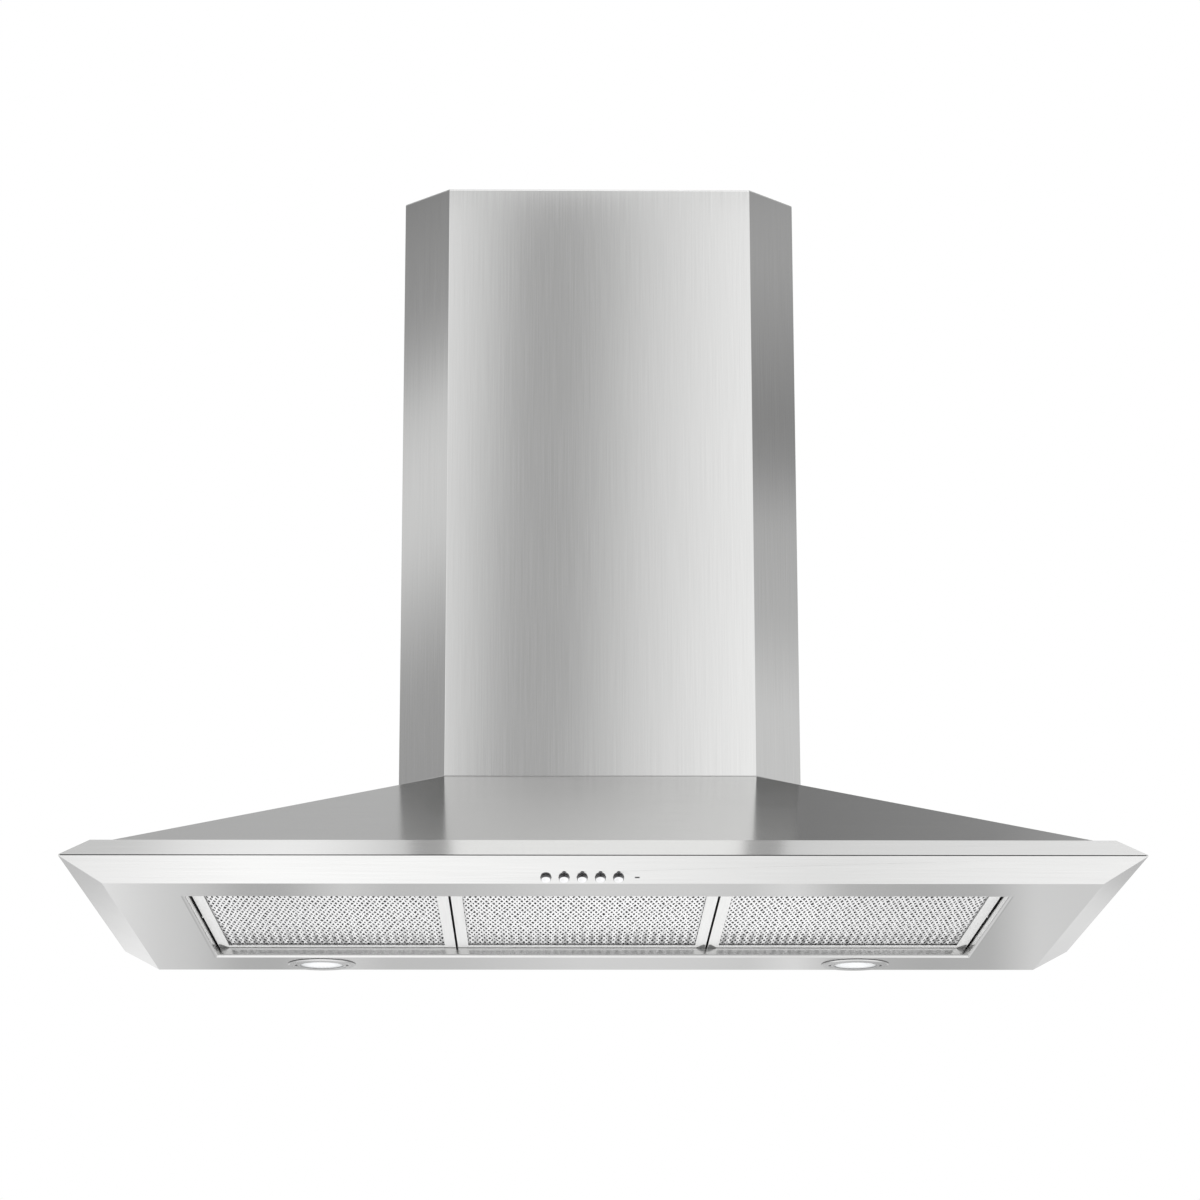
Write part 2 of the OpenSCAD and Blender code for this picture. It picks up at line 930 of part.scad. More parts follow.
// Motor can with a nose round the shaft
module motor() {
    r = motor_d / 2;
    bore = shaft_d / 2 + shaft_clear;
    color(steel_dark)
        on_axis()
            rotate_extrude()
                polygon([
                    [0, motor_back], [r - 4, motor_back], [r, motor_back + 4],
                    [r, motor_front - 6], [r - 6, motor_front], [hub_r, motor_front],
                    [hub_r, motor_nose], [bore, motor_nose], [bore, motor_back + 6], [0, motor_back + 6]
                ]);
}

// Ring and three arms that carry the motor in the left inlet
module motor_bracket() {
    color(zinc)
        difference() {
            union() {
                on_axis()
                    translate([0, 0, motor_back - arm_t])
                        cylinder(h = arm_t, r = motor_d / 2 + 3);
                at_arms() {
                    translate([-arm_r / 2, 0, motor_back - arm_t / 2])
                        cube([arm_r, arm_w, arm_t], center = true);
                    translate([0, 0, motor_back - arm_t])
                        cylinder(h = arm_t, r = arm_w / 2);
                }
            }
            on_axis()
                translate([0, 0, motor_back - 2 * arm_t])
                    cylinder(h = 3 * arm_t, r = hub_r);
            at_arms()
                translate([0, 0, motor_back - 2 * arm_t])
                    cylinder(h = 3 * arm_t, r = small_screw_r);
        }
}

module motor_shaft() {
    color(steel_dark)
        on_axis()
            translate([0, 0, motor_back + 7])
                cylinder(h = hub_front + nut_h + 2 - motor_back - 7, r = shaft_d / 2);
}

// Impeller: hub, middle disc and the left ring of forward-curved blades, moulded in one
module impeller() {
    color(black)
        on_axis()
            difference() {
                union() {
                    translate([0, 0, -hub_back])
                        cylinder(h = hub_back + hub_front, r = hub_r);
                    cylinder(h = disc_t, r = impeller_r - blade_in / 2, center = true);
                    mirror([0, 0, 1])
                        blade_cage();
                }
                translate([0, 0, -impeller_w])
                    cylinder(h = 2 * impeller_w, r = shaft_d / 2 + shaft_clear);
            }
}

// Right ring of blades, welded to the middle disc
module impeller_ring_right() {
    color(black)
        on_axis()
            blade_cage();
}

// Blades on one side of the middle disc with the end ring that joins them
module blade_cage() {
    translate([0, 0, disc_t / 2])
        linear_extrude(impeller_w / 2 - disc_t / 2)
            blade_ring();
    translate([0, 0, impeller_w / 2 - disc_t])
        difference() {
            cylinder(h = disc_t, r = impeller_r);
            translate([0, 0, -cut])
                cylinder(h = disc_t + 2 * cut, r = impeller_r - blade_in);
        }
}

// Blades: short arcs between the impeller's inner and outer radius
module blade_ring() {
    intersection() {
        difference() {
            circle(r = impeller_r);
            circle(r = impeller_r - blade_in);
        }
        for (i = [1 : blades])
            rotate(360 * i / blades)
                translate([impeller_r - blade_in / 2, blade_r - 2])
                    intersection() {
                        difference() {
                            circle(r = blade_r, $fn = 24);
                            circle(r = blade_r - blade_t, $fn = 24);
                        }
                        translate([-blade_r, -blade_r])
                            square([2 * blade_r, blade_r]);
                    }
    }
}

module impeller_nut() {
    color(steel_dark)
        on_axis()
            translate([0, 0, hub_front])
                difference() {
                    cylinder(h = nut_h, r = shaft_d, $fn = 6);
                    translate([0, 0, -cut])
                        cylinder(h = nut_h + 2 * cut, r = shaft_d / 2 + shaft_clear);
                }
}

// Duct outlet: flange, tube, stop ring for the flaps and bearing holes for their pins
module outlet_collar() {
    inner = outlet_r - outlet_t;
    stop_top = flap_z - flap_t / 2 - 0.25;
    color(black)
        translate([0, outlet_y, 0])
            difference() {
                union() {
                    rotate_extrude($fn = 96)
                        polygon([
                            [inner, box_top], [collar_r2, box_top],
                            [collar_r2, box_top + collar_flange], [outlet_r, box_top + collar_flange],
                            [outlet_r, box_top + outlet_h - 3], [outlet_r - 0.8, box_top + outlet_h],
                            [inner, box_top + outlet_h]
                        ]);
                    difference() {
                        translate([0, 0, stop_top - 1.5])
                            cylinder(h = 1.5, r = inner + outlet_t / 2, $fn = 96);
                        translate([0, 0, stop_top - 1.5 - cut])
                            cylinder(h = 1.5 + 2 * cut, r = inner - 2.5, $fn = 96);
                        translate([-outlet_r, -9, stop_top - 1.5 - cut])
                            cube([2 * outlet_r, 18, 1.5 + 2 * cut]);
                    }
                }
                for (side = [-1, 1])
                    translate([0, side * flap_pin_y, flap_z])
                        rotate([0, 90, 0])
                            cylinder(h = 2 * outlet_d, r = flap_pin_r + shaft_clear, center = true);
                for (a = [45 : 90 : 315])
                    rotate([0, 0, a])
                        translate([collar_screw_r, 0, box_top - cut])
                            cylinder(h = collar_flange + 2 * cut, r = small_screw_r);
            }
}

module collar_screws() {
    color(steel_dark)
        at_collar_screws()
            translate([0, 0, collar_flange])
                pan_screw(7);
}

// Half-round flap with its barrel and pin; side is -1 for the front one
module damper_flap(side) {
    color(white)
        translate([0, outlet_y, flap_z])
            union() {
                linear_extrude(flap_t, center = true)
                    intersection() {
                        circle(r = flap_r, $fn = 96);
                        translate([-outlet_r, side < 0 ? -outlet_r - 1 : 1])
                            square([2 * outlet_r, outlet_r]);
                    }
                translate([0, side * flap_pin_y, 0])
                    rotate([0, 90, 0]) {
                        cylinder(h = 2 * (flap_r - 6), r = flap_barrel_r, center = true);
                        cylinder(h = 2 * (outlet_r - run), r = flap_pin_r, center = true);
                    }
            }
}

module damper_flap_front() {
    damper_flap(-1);
}

module damper_flap_back() {
    damper_flap(1);
}

// Bush in the top plate for the supply cord
module cable_bush() {
    lip = bush_r + 1.5;
    z0 = canopy_z - 2;
    z1 = canopy_z + plate_t;
    color(black)
        translate([bush_x, bush_y, 0])
            rotate_extrude()
                polygon([
                    [bush_bore, z0], [lip, z0], [lip, canopy_z - fit], [bush_r, canopy_z - fit],
                    [bush_r, z1 + fit], [lip, z1 + fit], [lip, z1 + 2], [bush_bore, z1 + 2]
                ]);
}

// Box for the mains connections on the back panel, open to the front
module control_box() {
    color(white)
        difference() {
            translate([control_x, -control_d, control_z])
                cube([control_w, control_d - plate_t, control_h]);
            translate([control_x + control_t, -control_d - cut, control_z + control_t])
                cube([
                    control_w - 2 * control_t,
                    control_d - plate_t - control_t + cut,
                    control_h - 2 * control_t
                ]);
        }
}

// Lid whose rim fits into the box
module control_box_lid() {
    t = control_t;
    color(white) {
        translate([control_x, -control_d - t, control_z])
            cube([control_w, t, control_h]);
        translate([control_x + t + fit, -control_d - t / 2, control_z + t + fit])
            difference() {
                cube([control_w - 2 * (t + fit), 2 * t, control_h - 2 * (t + fit)]);
                translate([t, t / 2, t])
                    cube([control_w - 4 * t - 2 * fit, 2 * t, control_h - 4 * t - 2 * fit]);
            }
    }
}

// Run capacitor of the motor, lying along x in a strap
module capacitor() {
    color(white)
        translate([capacitor_x, -capacitor_y, capacitor_z])
            rotate([0, 90, 0])
                rotate_extrude()
                    polygon([
                        [0, 0], [capacitor_r - 1, 0], [capacitor_r, 1], [capacitor_r, capacitor_l - 4],
                        [capacitor_r - 2, capacitor_l - 2], [6, capacitor_l - 2], [6, capacitor_l + 4],
                        [0, capacitor_l + 4]
                    ]);
}

module capacitor_clip() {
    r = capacitor_r + fit;
    w = 12;
    t = 1.2;
    color(zinc)
        translate([capacitor_x + capacitor_l / 2 - w / 2, -capacitor_y, capacitor_z])
            difference() {
                union() {
                    rotate([0, 90, 0])
                        cylinder(h = w, r = r + t);
                    translate([0, capacitor_y - plate_t - t, -r - 12])
                        cube([w, t, 2 * r + 24]);
                    translate([0, 0, -r - t])
                        cube([w, capacitor_y - plate_t, 2 * (r + t)]);
                }
                translate([-cut, 0, 0])
                    rotate([0, 90, 0])
                        cylinder(h = w + 2 * cut, r = r);
                translate([-cut, 0, -r])
                    cube([w + 2 * cut, capacitor_y - plate_t - t, 2 * r]);
            }
}

// Potted driver of the lamps with two fixing ears
module lamp_driver() {
    size = [75, 27, 28];
    ear = 8;
    color(black)
        translate([-control_x - size[0] - ear, -plate_t - size[1], control_z]) {
            cube(size);
            translate([-ear, size[1] - 3, 4])
                cube([size[0] + 2 * ear, 3, size[2] - 8]);
        }
}

// Tray behind the fascia that holds the board, with its floor against the sheet
module switch_housing() {
    color(black)
        on_fascia()
            difference() {
                union() {
                    difference() {
                        translate([housing_x0, housing_y0, housing_z - housing_depth])
                            cube([housing_x1 - housing_x0, housing_y1 - housing_y0, housing_depth]);
                        translate([
                            housing_x0 + housing_t,
                            housing_y0 + housing_t,
                            housing_z - housing_depth - cut
                        ])
                            cube([
                                housing_x1 - housing_x0 - 2 * housing_t,
                                housing_y1 - housing_y0 - 2 * housing_t,
                                housing_depth - housing_floor + cut
                            ]);
                    }
                    for (x = [-2 * button_pitch, pilot_x])
                        translate([x, indicator_up + 1, board_z])
                            cylinder(h = housing_z - board_z - housing_floor / 2, r = 1.6, $fn = 24);
                }
                at_buttons()
                    cylinder(h = 4 * housing_floor + 2, r = button_d / 2 + run, center = true);
                at_indicators()
                    cylinder(h = 4 * housing_floor + 2, r = indicator_d / 2 + fit, center = true);
                pilot_slit(4 * housing_floor + 2);
            }
}

module switch_board() {
    edge = housing_t + 0.2;
    color([0.1, 0.35, 0.2])
        on_fascia()
            translate([housing_x0 + edge, housing_y0 + edge, board_z - board_t])
                cube([housing_x1 - housing_x0 - 2 * edge, housing_y1 - housing_y0 - 2 * edge, board_t]);
}

// Five push switches on the board, each with a bore for a button's stem
module push_switches() {
    color(black)
        on_fascia()
            at_buttons()
                difference() {
                    translate([-switch_size / 2, -switch_size / 2, board_z])
                        cube([switch_size, switch_size, switch_top - board_z]);
                    translate([0, 0, board_z + 1.5])
                        cylinder(h = switch_top - board_z, r = stem_r + run, $fn = 24);
                }
}

// Light guides from the board to the fascia: four round ones and the pilot light's slit
module indicator_lenses() {
    color([0.1, 0.1, 0.1])
        on_fascia() {
            at_indicators()
                translate([0, 0, board_z])
                    cylinder(h = 0.3 - board_z, r = indicator_d / 2, $fn = 24);
            translate([pilot_x - pilot_size[0] / 2, -pilot_size[1] / 2, board_z])
                cube([pilot_size[0], pilot_size[1], 0.2 - board_z]);
        }
}

// Push button: cap, collar behind the housing's floor, and stem that ends in the switch
module button(i) {
    r = button_d / 2;
    collar_top = housing_z - housing_floor - run;
    collar_z = collar_top - 1.2;
    stem_end = switch_top - stem_in;
    color(steel)
        on_fascia()
            translate([(i - 3) * button_pitch, 0, 0])
                rotate_extrude()
                    polygon([
                        [0, stem_end], [stem_r, stem_end], [stem_r, collar_z], [collar_r, collar_z],
                        [collar_r, collar_top], [r, collar_top], [r, button_out - 0.5],
                        [r - 0.5, button_out], [r - 1.5, button_out], [0, button_out - 0.3]
                    ]);
}

module button_1() {
    button(1);
}

module button_2() {
    button(2);
}

module button_3() {
    button(3);
}

module button_4() {
    button(4);
}

module button_5() {
    button(5);
}

// Lamp bezel: flat ring with a groove, a seat for the glass and a collar in the lamp's cup
module lamp_bezel(x) {
    r = bezel_d / 2;
    glass_r = glass_d / 2;
    collar = cup_r - cup_t - 0.2;
    color(steel)
        translate([x, -lamp_y, 0])
            difference() {
                rotate_extrude()
                    polygon([
                        [glass_r, -bezel_t], [glass_r + 3.6, -bezel_t], [glass_r + 4, -bezel_t + 0.5],
                        [glass_r + 4.4, -bezel_t], [r - 1.5, -bezel_t], [r, -0.4], [r, 0],
                        [collar, 0], [collar, 8], [collar - 1.4, 8], [collar - 1.4, 0],
                        [glass_seat_r, 0], [glass_seat_r, -bezel_t + 0.5], [glass_r, -bezel_t + 0.5]
                    ]);
                for (side = [-1, 1])
                    translate([side * (glass_r + 4), 0, -bezel_t - cut])
                        cylinder(h = 0.8 + cut, r = 1.3, $fn = 24);
            }
}

module lamp_bezel_left() {
    lamp_bezel(-lamp_left_x);
}

module lamp_bezel_right() {
    lamp_bezel(lamp_right_x);
}

module lamp_glass(x) {
    r = glass_seat_r - 0.2;
    z0 = -bezel_t + 0.5;
    color(white)
        translate([x, -lamp_y, 0])
            rotate_extrude()
                polygon([
                    [0, z0], [r, z0], [r, z0 + glass_t - 0.5], [r - 0.5, z0 + glass_t], [0, z0 + glass_t]
                ]);
}

module lamp_glass_left() {
    lamp_glass(-lamp_left_x);
}

module lamp_glass_right() {
    lamp_glass(lamp_right_x);
}

// Lamp cup: flange on the panel's upper side, wall, top with a hole for the bulb's base
module lamp_cup(x) {
    top = cup_h;
    color(zinc)
        translate([x, -lamp_y, 0])
            rotate_extrude()
                polygon([
                    [cup_r - cup_t, sheet], [cup_r + 3.4, sheet], [cup_r + 3.4, sheet + cup_t],
                    [cup_r, sheet + cup_t], [cup_r, top - 3], [cup_r - 3, top], [bulb_base_r + 0.2, top],
                    [bulb_base_r + 0.2, top - cup_t], [cup_r - cup_t - 2.5, top - cup_t],
                    [cup_r - cup_t, top - cup_t - 2.5]
                ]);
}

module lamp_cup_left() {
    lamp_cup(-lamp_left_x);
}

module lamp_cup_right() {
    lamp_cup(lamp_right_x);
}

// Lamp capsule and its base, which is held in the cup's top
module lamp_bulb(x) {
    color(white)
        translate([x, -lamp_y, 0])
            rotate_extrude()
                polygon([
                    [0, cup_h - 22], [2.5, cup_h - 21.3], [4.2, cup_h - 19.5], [4.6, cup_h - 17],
                    [4.6, cup_h - 10], [bulb_base_r, cup_h - 10], [bulb_base_r, cup_h + 3], [0, cup_h + 3]
                ]);
}

module lamp_bulb_left() {
    lamp_bulb(-lamp_left_x);
}

module lamp_bulb_right() {
    lamp_bulb(lamp_right_x);
}

// Filter frame: channel section all round, back lugs, and the latch's case at the front
module filter_frame(x0, w) {
    depth = filter_y1 - filter_y0;
    xc = x0 + w / 2;
    color(aluminium)
        difference() {
            union() {
                translate([x0, filter_y0, filter_z])
                    difference() {
                        cube([w, depth, filter_t]);
                        translate([frame_t, frame_t, frame_t])
                            cube([w - 2 * frame_t, depth - 2 * frame_t, filter_t - 2 * frame_t]);
                        translate([filter_rim, filter_rim, -cut])
                            cube([w - 2 * filter_rim, depth - 2 * filter_rim, filter_t + 2 * cut]);
                    }
                for (side = [-1, 1])
                    translate([
                        xc + side * (w / 2 - lug_in) - lug_size[0] / 2,
                        filter_y1 - frame_t / 2,
                        well_h + lug_gap
                    ])
                        cube(lug_size);
                translate([xc - case_size[0] / 2, filter_y0, filter_z])
                    difference() {
                        cube(case_size);
                        translate([frame_t, frame_t, frame_t])
                            cube([for (size = case_size) size - 2 * frame_t]);
                    }
            }
            translate([xc - latch_w / 2 - run, filter_y0 - cut, latch_z - 0.2])
                cube([latch_w + 2 * run, frame_t + 2 * cut, 2 * nose_rise + 0.4]);
            translate([xc - grip_w / 2 - 1, grip_y - 0.8, filter_z - cut])
                cube([grip_w + 2, grip_t + latch_travel + 1.6, frame_t + 2 * cut]);
        }
}

module filter_frame_left() {
    filter_frame(filter_x0, filter_left_w);
}

module filter_frame_middle() {
    filter_frame(filter_x1, filter_middle_w);
}

module filter_frame_right() {
    filter_frame(filter_x2, filter_right_w);
}

// Mesh pad: a corrugated sheet with flat edges, held in the channel, clear of the latch's case
module filter_mesh(x0, w) {
    edge = frame_t + fit;
    steps = 6;
    waves = floor((w - 2 * filter_rim) / mesh_pitch);
    start = (w - waves * mesh_pitch) / 2;
    z = filter_z + frame_t + mesh_gap;
    line = concat(
        [[edge, 0]],
        [for (i = [0 : waves * steps]) [
            start + i * mesh_pitch / steps,
            mesh_wave / 2 * (1 - cos(360 * i / steps))
        ]],
        [[w - edge, 0]]
    );
    color([0.7, 0.7, 0.7])
        difference() {
            translate([x0, 0, z])
                along_y(concat(
                    line,
                    [for (p = reversed(line)) [p[0], p[1] + mesh_t]]
                ), filter_y0 + edge, filter_y1 - edge);
            translate([x0 + w / 2 - case_size[0] / 2 - fit, filter_y0, filter_z])
                cube([case_size[0] + 2 * fit, case_size[1] + fit, filter_t]);
        }
}

module filter_mesh_left() {
    filter_mesh(filter_x0, filter_left_w);
}

module filter_mesh_middle() {
    filter_mesh(filter_x1, filter_middle_w);
}

module filter_mesh_right() {
    filter_mesh(filter_x2, filter_right_w);
}

// Latch: nose sloped both ways over the recess's front wall, so that a firm pull draws the filter
// down, grip through the case's floor, and tab for the spring
module filter_latch(xc) {
    nose_y = open_front_y + 0.05;
    tip_y = nose_y - latch_reach;
    color(aluminium) {
        translate([xc - latch_w / 2, 0, 0])
            along_x_from([
                [nose_y, latch_z],
                [tip_y, latch_z + nose_rise],
                [nose_y, latch_z + 2 * nose_rise],
                [nose_y + nose_t, latch_z + 2 * nose_rise],
                [nose_y + nose_t, latch_z + latch_t],
                [tab_y - latch_t, latch_z + latch_t],
                [tab_y - latch_t, latch_z + 4.2],
                [tab_y, latch_z + 4.2],
                [tab_y, latch_z]
            ], latch_w);
        translate([xc - grip_w / 2, grip_y, latch_z - grip_h])
            cube([grip_w, grip_t, grip_h + latch_t / 2]);
    }
}

// Profile in y and z, drawn out towards +x from x = 0
module along_x_from(points, w) {
    rotate([90, 0, 90])
        linear_extrude(w)
            polygon(points);
}

module filter_latch_left() {
    filter_latch(filter_x0 + filter_left_w / 2);
}

module filter_latch_middle() {
    filter_latch(filter_x1 + filter_middle_w / 2);
}

module filter_latch_right() {
    filter_latch(filter_x2 + filter_right_w / 2);
}

// Coil spring between the latch's tab and the case's back wall, one unbroken tube along y
module latch_spring(xc) {
    sides = 6;
    rings = 8 * spring_turns;
    end = filter_y0 + case_size[1] - frame_t;
    first = tab_y + spring_wire / 2 + 0.1;
    pitch = (end - first - spring_wire / 2 - 0.1) / rings;
    points = [
        for (i = [0 : rings], j = [0 : sides - 1])
            let (
                a = 360 * spring_turns * i / rings,
                b = 360 * j / sides,
                r = spring_r + spring_wire / 2 * cos(b)
            )
            [r * cos(a), first + i * pitch + spring_wire / 2 * sin(b), r * sin(a)]
    ];
    walls = [
        for (i = [0 : rings - 1], j = [0 : sides - 1])
            let (p = i * sides + j, q = i * sides + (j + 1) % sides)
            each [[p, p + sides, q], [q, p + sides, q + sides]]
    ];
    caps = [
        for (j = [1 : sides - 2])
            each [[0, j, j + 1], [rings * sides, rings * sides + j + 1, rings * sides + j]]
    ];
    color(steel_dark)
        translate([xc, 0, spring_z])
            polyhedron(points, concat(walls, caps));
}

module latch_spring_left() {
    latch_spring(filter_x0 + filter_left_w / 2);
}

module latch_spring_middle() {
    latch_spring(filter_x1 + filter_middle_w / 2);
}

module latch_spring_right() {
    latch_spring(filter_x2 + filter_right_w / 2);
}

canopy_shell();
underside_pan();
back_panel();
top_plate();
lower_flue_cover();
flue_guides();
upper_flue_cover();
upper_flue_bracket();
upper_flue_screws();
air_box();
air_box_front();
air_box_screws();
blower_housing_left();
blower_housing_right();
blower_screws();
motor();
motor_bracket();
motor_shaft();
impeller();
impeller_ring_right();
impeller_nut();
outlet_collar();
collar_screws();
damper_flap_front();
damper_flap_back();
cable_bush();
control_box();
control_box_lid();
capacitor();
capacitor_clip();
lamp_driver();
switch_housing();
switch_board();
push_switches();
indicator_lenses();
button_1();
button_2();
button_3();
button_4();
button_5();
lamp_bezel_left();
lamp_bezel_right();
lamp_glass_left();
lamp_glass_right();
lamp_cup_left();
lamp_cup_right();
lamp_bulb_left();
lamp_bulb_right();
filter_frame_left();
filter_frame_middle();
filter_frame_right();
filter_mesh_left();
filter_mesh_middle();
filter_mesh_right();
filter_latch_left();
filter_latch_middle();
filter_latch_right();
latch_spring_left();
latch_spring_middle();
latch_spring_right();
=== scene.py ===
import math
import random
import bpy
import bmesh
from mathutils import Matrix, Vector


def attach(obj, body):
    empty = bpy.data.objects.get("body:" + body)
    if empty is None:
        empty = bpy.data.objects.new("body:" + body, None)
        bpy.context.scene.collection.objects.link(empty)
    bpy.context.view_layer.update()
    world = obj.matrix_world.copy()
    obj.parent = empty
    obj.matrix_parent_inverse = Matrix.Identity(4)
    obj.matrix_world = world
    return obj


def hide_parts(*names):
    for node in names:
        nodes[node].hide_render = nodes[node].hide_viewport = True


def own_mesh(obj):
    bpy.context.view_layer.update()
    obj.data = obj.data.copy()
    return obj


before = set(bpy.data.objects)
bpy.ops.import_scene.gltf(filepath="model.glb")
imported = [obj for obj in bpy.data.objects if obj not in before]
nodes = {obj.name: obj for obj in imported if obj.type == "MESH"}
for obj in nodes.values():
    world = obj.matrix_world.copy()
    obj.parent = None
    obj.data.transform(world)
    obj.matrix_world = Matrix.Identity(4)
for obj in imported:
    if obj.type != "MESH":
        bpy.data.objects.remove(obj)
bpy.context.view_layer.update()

mm = 0.001


class Wire:
    # one socket of a material, so that its node maths can be written as sums
    def __init__(self, finish, socket):
        self.finish = finish
        self.socket = socket

    def maths(self, operation, *others, clamp=False):
        settings = {"operation": operation, "use_clamp": clamp}
        values = dict(enumerate((self, *others)))
        return self.finish.add("ShaderNodeMath", settings, values)

    def __add__(self, other): return self.maths("ADD", other)
    def __radd__(self, other): return self.maths("ADD", other)
    def __mul__(self, other): return self.maths("MULTIPLY", other)
    def __rmul__(self, other): return self.maths("MULTIPLY", other)
    def __sub__(self, other): return self.maths("SUBTRACT", other)
    def __truediv__(self, other): return self.maths("DIVIDE", other)
    def __pow__(self, other): return self.maths("POWER", other)
    def __gt__(self, other): return self.maths("GREATER_THAN", other)
    def __lt__(self, other): return self.maths("LESS_THAN", other)
    def __abs__(self): return self.maths("ABSOLUTE")

    def __rsub__(self, other):
        settings = {"operation": "SUBTRACT"}
        return self.finish.add("ShaderNodeMath", settings, {0: other, 1: self})

    def clipped(self):
        return self.maths("ADD", 0.0, clamp=True)


class Finish:
    # a material with a Principled shader; its nodes are added one at a time
    def __init__(self, name, **fixed):
        self.material = bpy.data.materials.new(name)
        self.material.use_nodes = True
        self.tree = self.material.node_tree
        self.shader = self.tree.nodes["Principled BSDF"]
        self.set(**fixed)
        place = self.tree.nodes.new("ShaderNodeTexCoord")
        self.place = Wire(self, place.outputs["Object"])
        self.facing = Wire(self, place.outputs["Normal"])

    def set(self, **values):
        for name, value in values.items():
            self.link(self.shader.inputs[name.replace("_", " ")], value)

    def link(self, socket, value):
        if isinstance(value, Wire):
            self.tree.links.new(value.socket, socket)
        elif socket.type == "RGBA" and len(value) == 3:
            socket.default_value = (*value, 1.0)
        else:
            socket.default_value = value

    def add(self, kind, settings=None, values=None, out=0):
        node = self.tree.nodes.new(kind)
        for name, value in (settings or {}).items():
            if name == "stops":
                ramp = node.color_ramp
                while len(ramp.elements) < len(value):
                    ramp.elements.new(0.5)
                for element, (place, level) in zip(ramp.elements, value):
                    element.position = place
                    element.color = (level, level, level, 1.0)
            else:
                setattr(node, name, value)
        for name, value in (values or {}).items():
            self.link(node.inputs[name], value)
        return Wire(self, node.outputs[out])

    def noise(self, scale, stretch=(1, 1, 1), detail=2.0, rough=0.5):
        # stretch is how many times as fine the pattern is along x, y and z
        place = self.stretched(stretch)
        values = {"Vector": place, "Scale": scale, "Detail": detail, "Roughness": rough}
        return self.add("ShaderNodeTexNoise", {"noise_dimensions": "3D"}, values)

    def cells(self, scale, feature, place=None, out=0):
        values = {"Vector": place or self.place, "Scale": scale}
        return self.add("ShaderNodeTexVoronoi", {"feature": feature}, values, out)

    def stretched(self, stretch):
        values = {"Vector": self.place, "Scale": stretch}
        return self.add("ShaderNodeMapping", None, values)

    def ramp(self, value, stops):
        return self.add("ShaderNodeValToRGB", {"stops": stops}, {0: value})

    def along(self, way, vector=None):
        # how far the place, in metres, or another vector reaches in one direction
        settings = {"operation": "DOT_PRODUCT"}
        values = {0: vector or self.place, 1: way}
        return self.add("ShaderNodeVectorMath", settings, values, out=1)

    def axes(self, vector=None):
        # x, y and z of the place or of another vector
        split = self.tree.nodes.new("ShaderNodeSeparateXYZ")
        self.link(split.inputs[0], vector or self.place)
        return [Wire(self, socket) for socket in split.outputs]

    def blend(self, amount, first, second):
        # colour between two
        values = {0: amount, 6: first, 7: second}
        return self.add("ShaderNodeMix", {"data_type": "RGBA"}, values, out=2)

    def either(self, amount, first, second):
        # number between two
        values = {0: amount, 2: first, 3: second}
        return self.add("ShaderNodeMix", {"data_type": "FLOAT"}, values)

    def bump(self, height, depth, strength):
        # last step of a finish: the height's full range is depth metres
        values = {"Height": height, "Distance": depth, "Strength": strength}
        self.set(Normal=self.add("ShaderNodeBump", None, values))
        return self.material


def toned(color, factor):
    return tuple(value * factor for value in color)


def putIn(name, data):
    thing = bpy.data.objects.new(name, data)
    bpy.context.scene.collection.objects.link(thing)
    return thing


def meshFrom(bm, name):
    mesh = bpy.data.meshes.new(name)
    bm.to_mesh(mesh)
    bm.free()
    return putIn(name, mesh)


camera = {
    "place": (-45.1, -3512.4, -541.9),         # mm
    "yaw": 0.0139, "pitch": 0.2525, "roll": -0.0017,   # radians
    "focal": 3706, "frame": 1200,              # focal length and width of frame in pixels
    "sensor": 36,                              # mm
    "clip": (0.1, 50),
}


def makeCamera():
    data = bpy.data.cameras.new("camera")
    data.sensor_width = camera["sensor"]
    data.lens = camera["focal"] / camera["frame"] * camera["sensor"]
    data.clip_start, data.clip_end = camera["clip"]
    cam = putIn("camera", data)
    turn = (Matrix.Rotation(-camera["yaw"], 3, "Z")
            @ Matrix.Rotation(math.pi / 2 + camera["pitch"], 3, "X")
            @ Matrix.Rotation(camera["roll"], 3, "Z"))
    cam.matrix_world = Matrix.Translation(Vector(camera["place"]) * mm) @ turn.to_4x4()
    bpy.context.scene.camera = cam


studio = {
    "floorHeight": -0.8, "floorSize": 9.0, "floorMiddle": -0.5, "floorSides": 64,
    "floorColor": (0.82, 0.82, 0.82), "floorRough": 0.85, "floorGloss": 0.2,
    "white": 1.0,              # background that the camera sees, also through glass
    "sky": 0.62,               # light that comes from it
}


def makeFloor():
    # pale floor, see-through from below
    bm = bmesh.new()
    bmesh.ops.create_circle(bm, cap_ends=True, radius=studio["floorSize"] / 2,
                            segments=studio["floorSides"])
    bmesh.ops.translate(bm, verts=bm.verts,
                        vec=(0, studio["floorMiddle"], studio["floorHeight"]))
    floor = meshFrom(bm, "floor")
    finish = Finish("floorFinish", Base_Color=studio["floorColor"],
                    Roughness=studio["floorRough"],
                    Specular_IOR_Level=studio["floorGloss"])
    tree = finish.tree
    clear = tree.nodes.new("ShaderNodeBsdfTransparent")
    back = tree.nodes.new("ShaderNodeNewGeometry")
    mix = tree.nodes.new("ShaderNodeMixShader")
    tree.links.new(back.outputs["Backfacing"], mix.inputs[0])
    tree.links.new(finish.shader.outputs[0], mix.inputs[1])
    tree.links.new(clear.outputs[0], mix.inputs[2])
    tree.links.new(mix.outputs[0], tree.nodes["Material Output"].inputs["Surface"])
    floor.data.materials.append(finish.material)


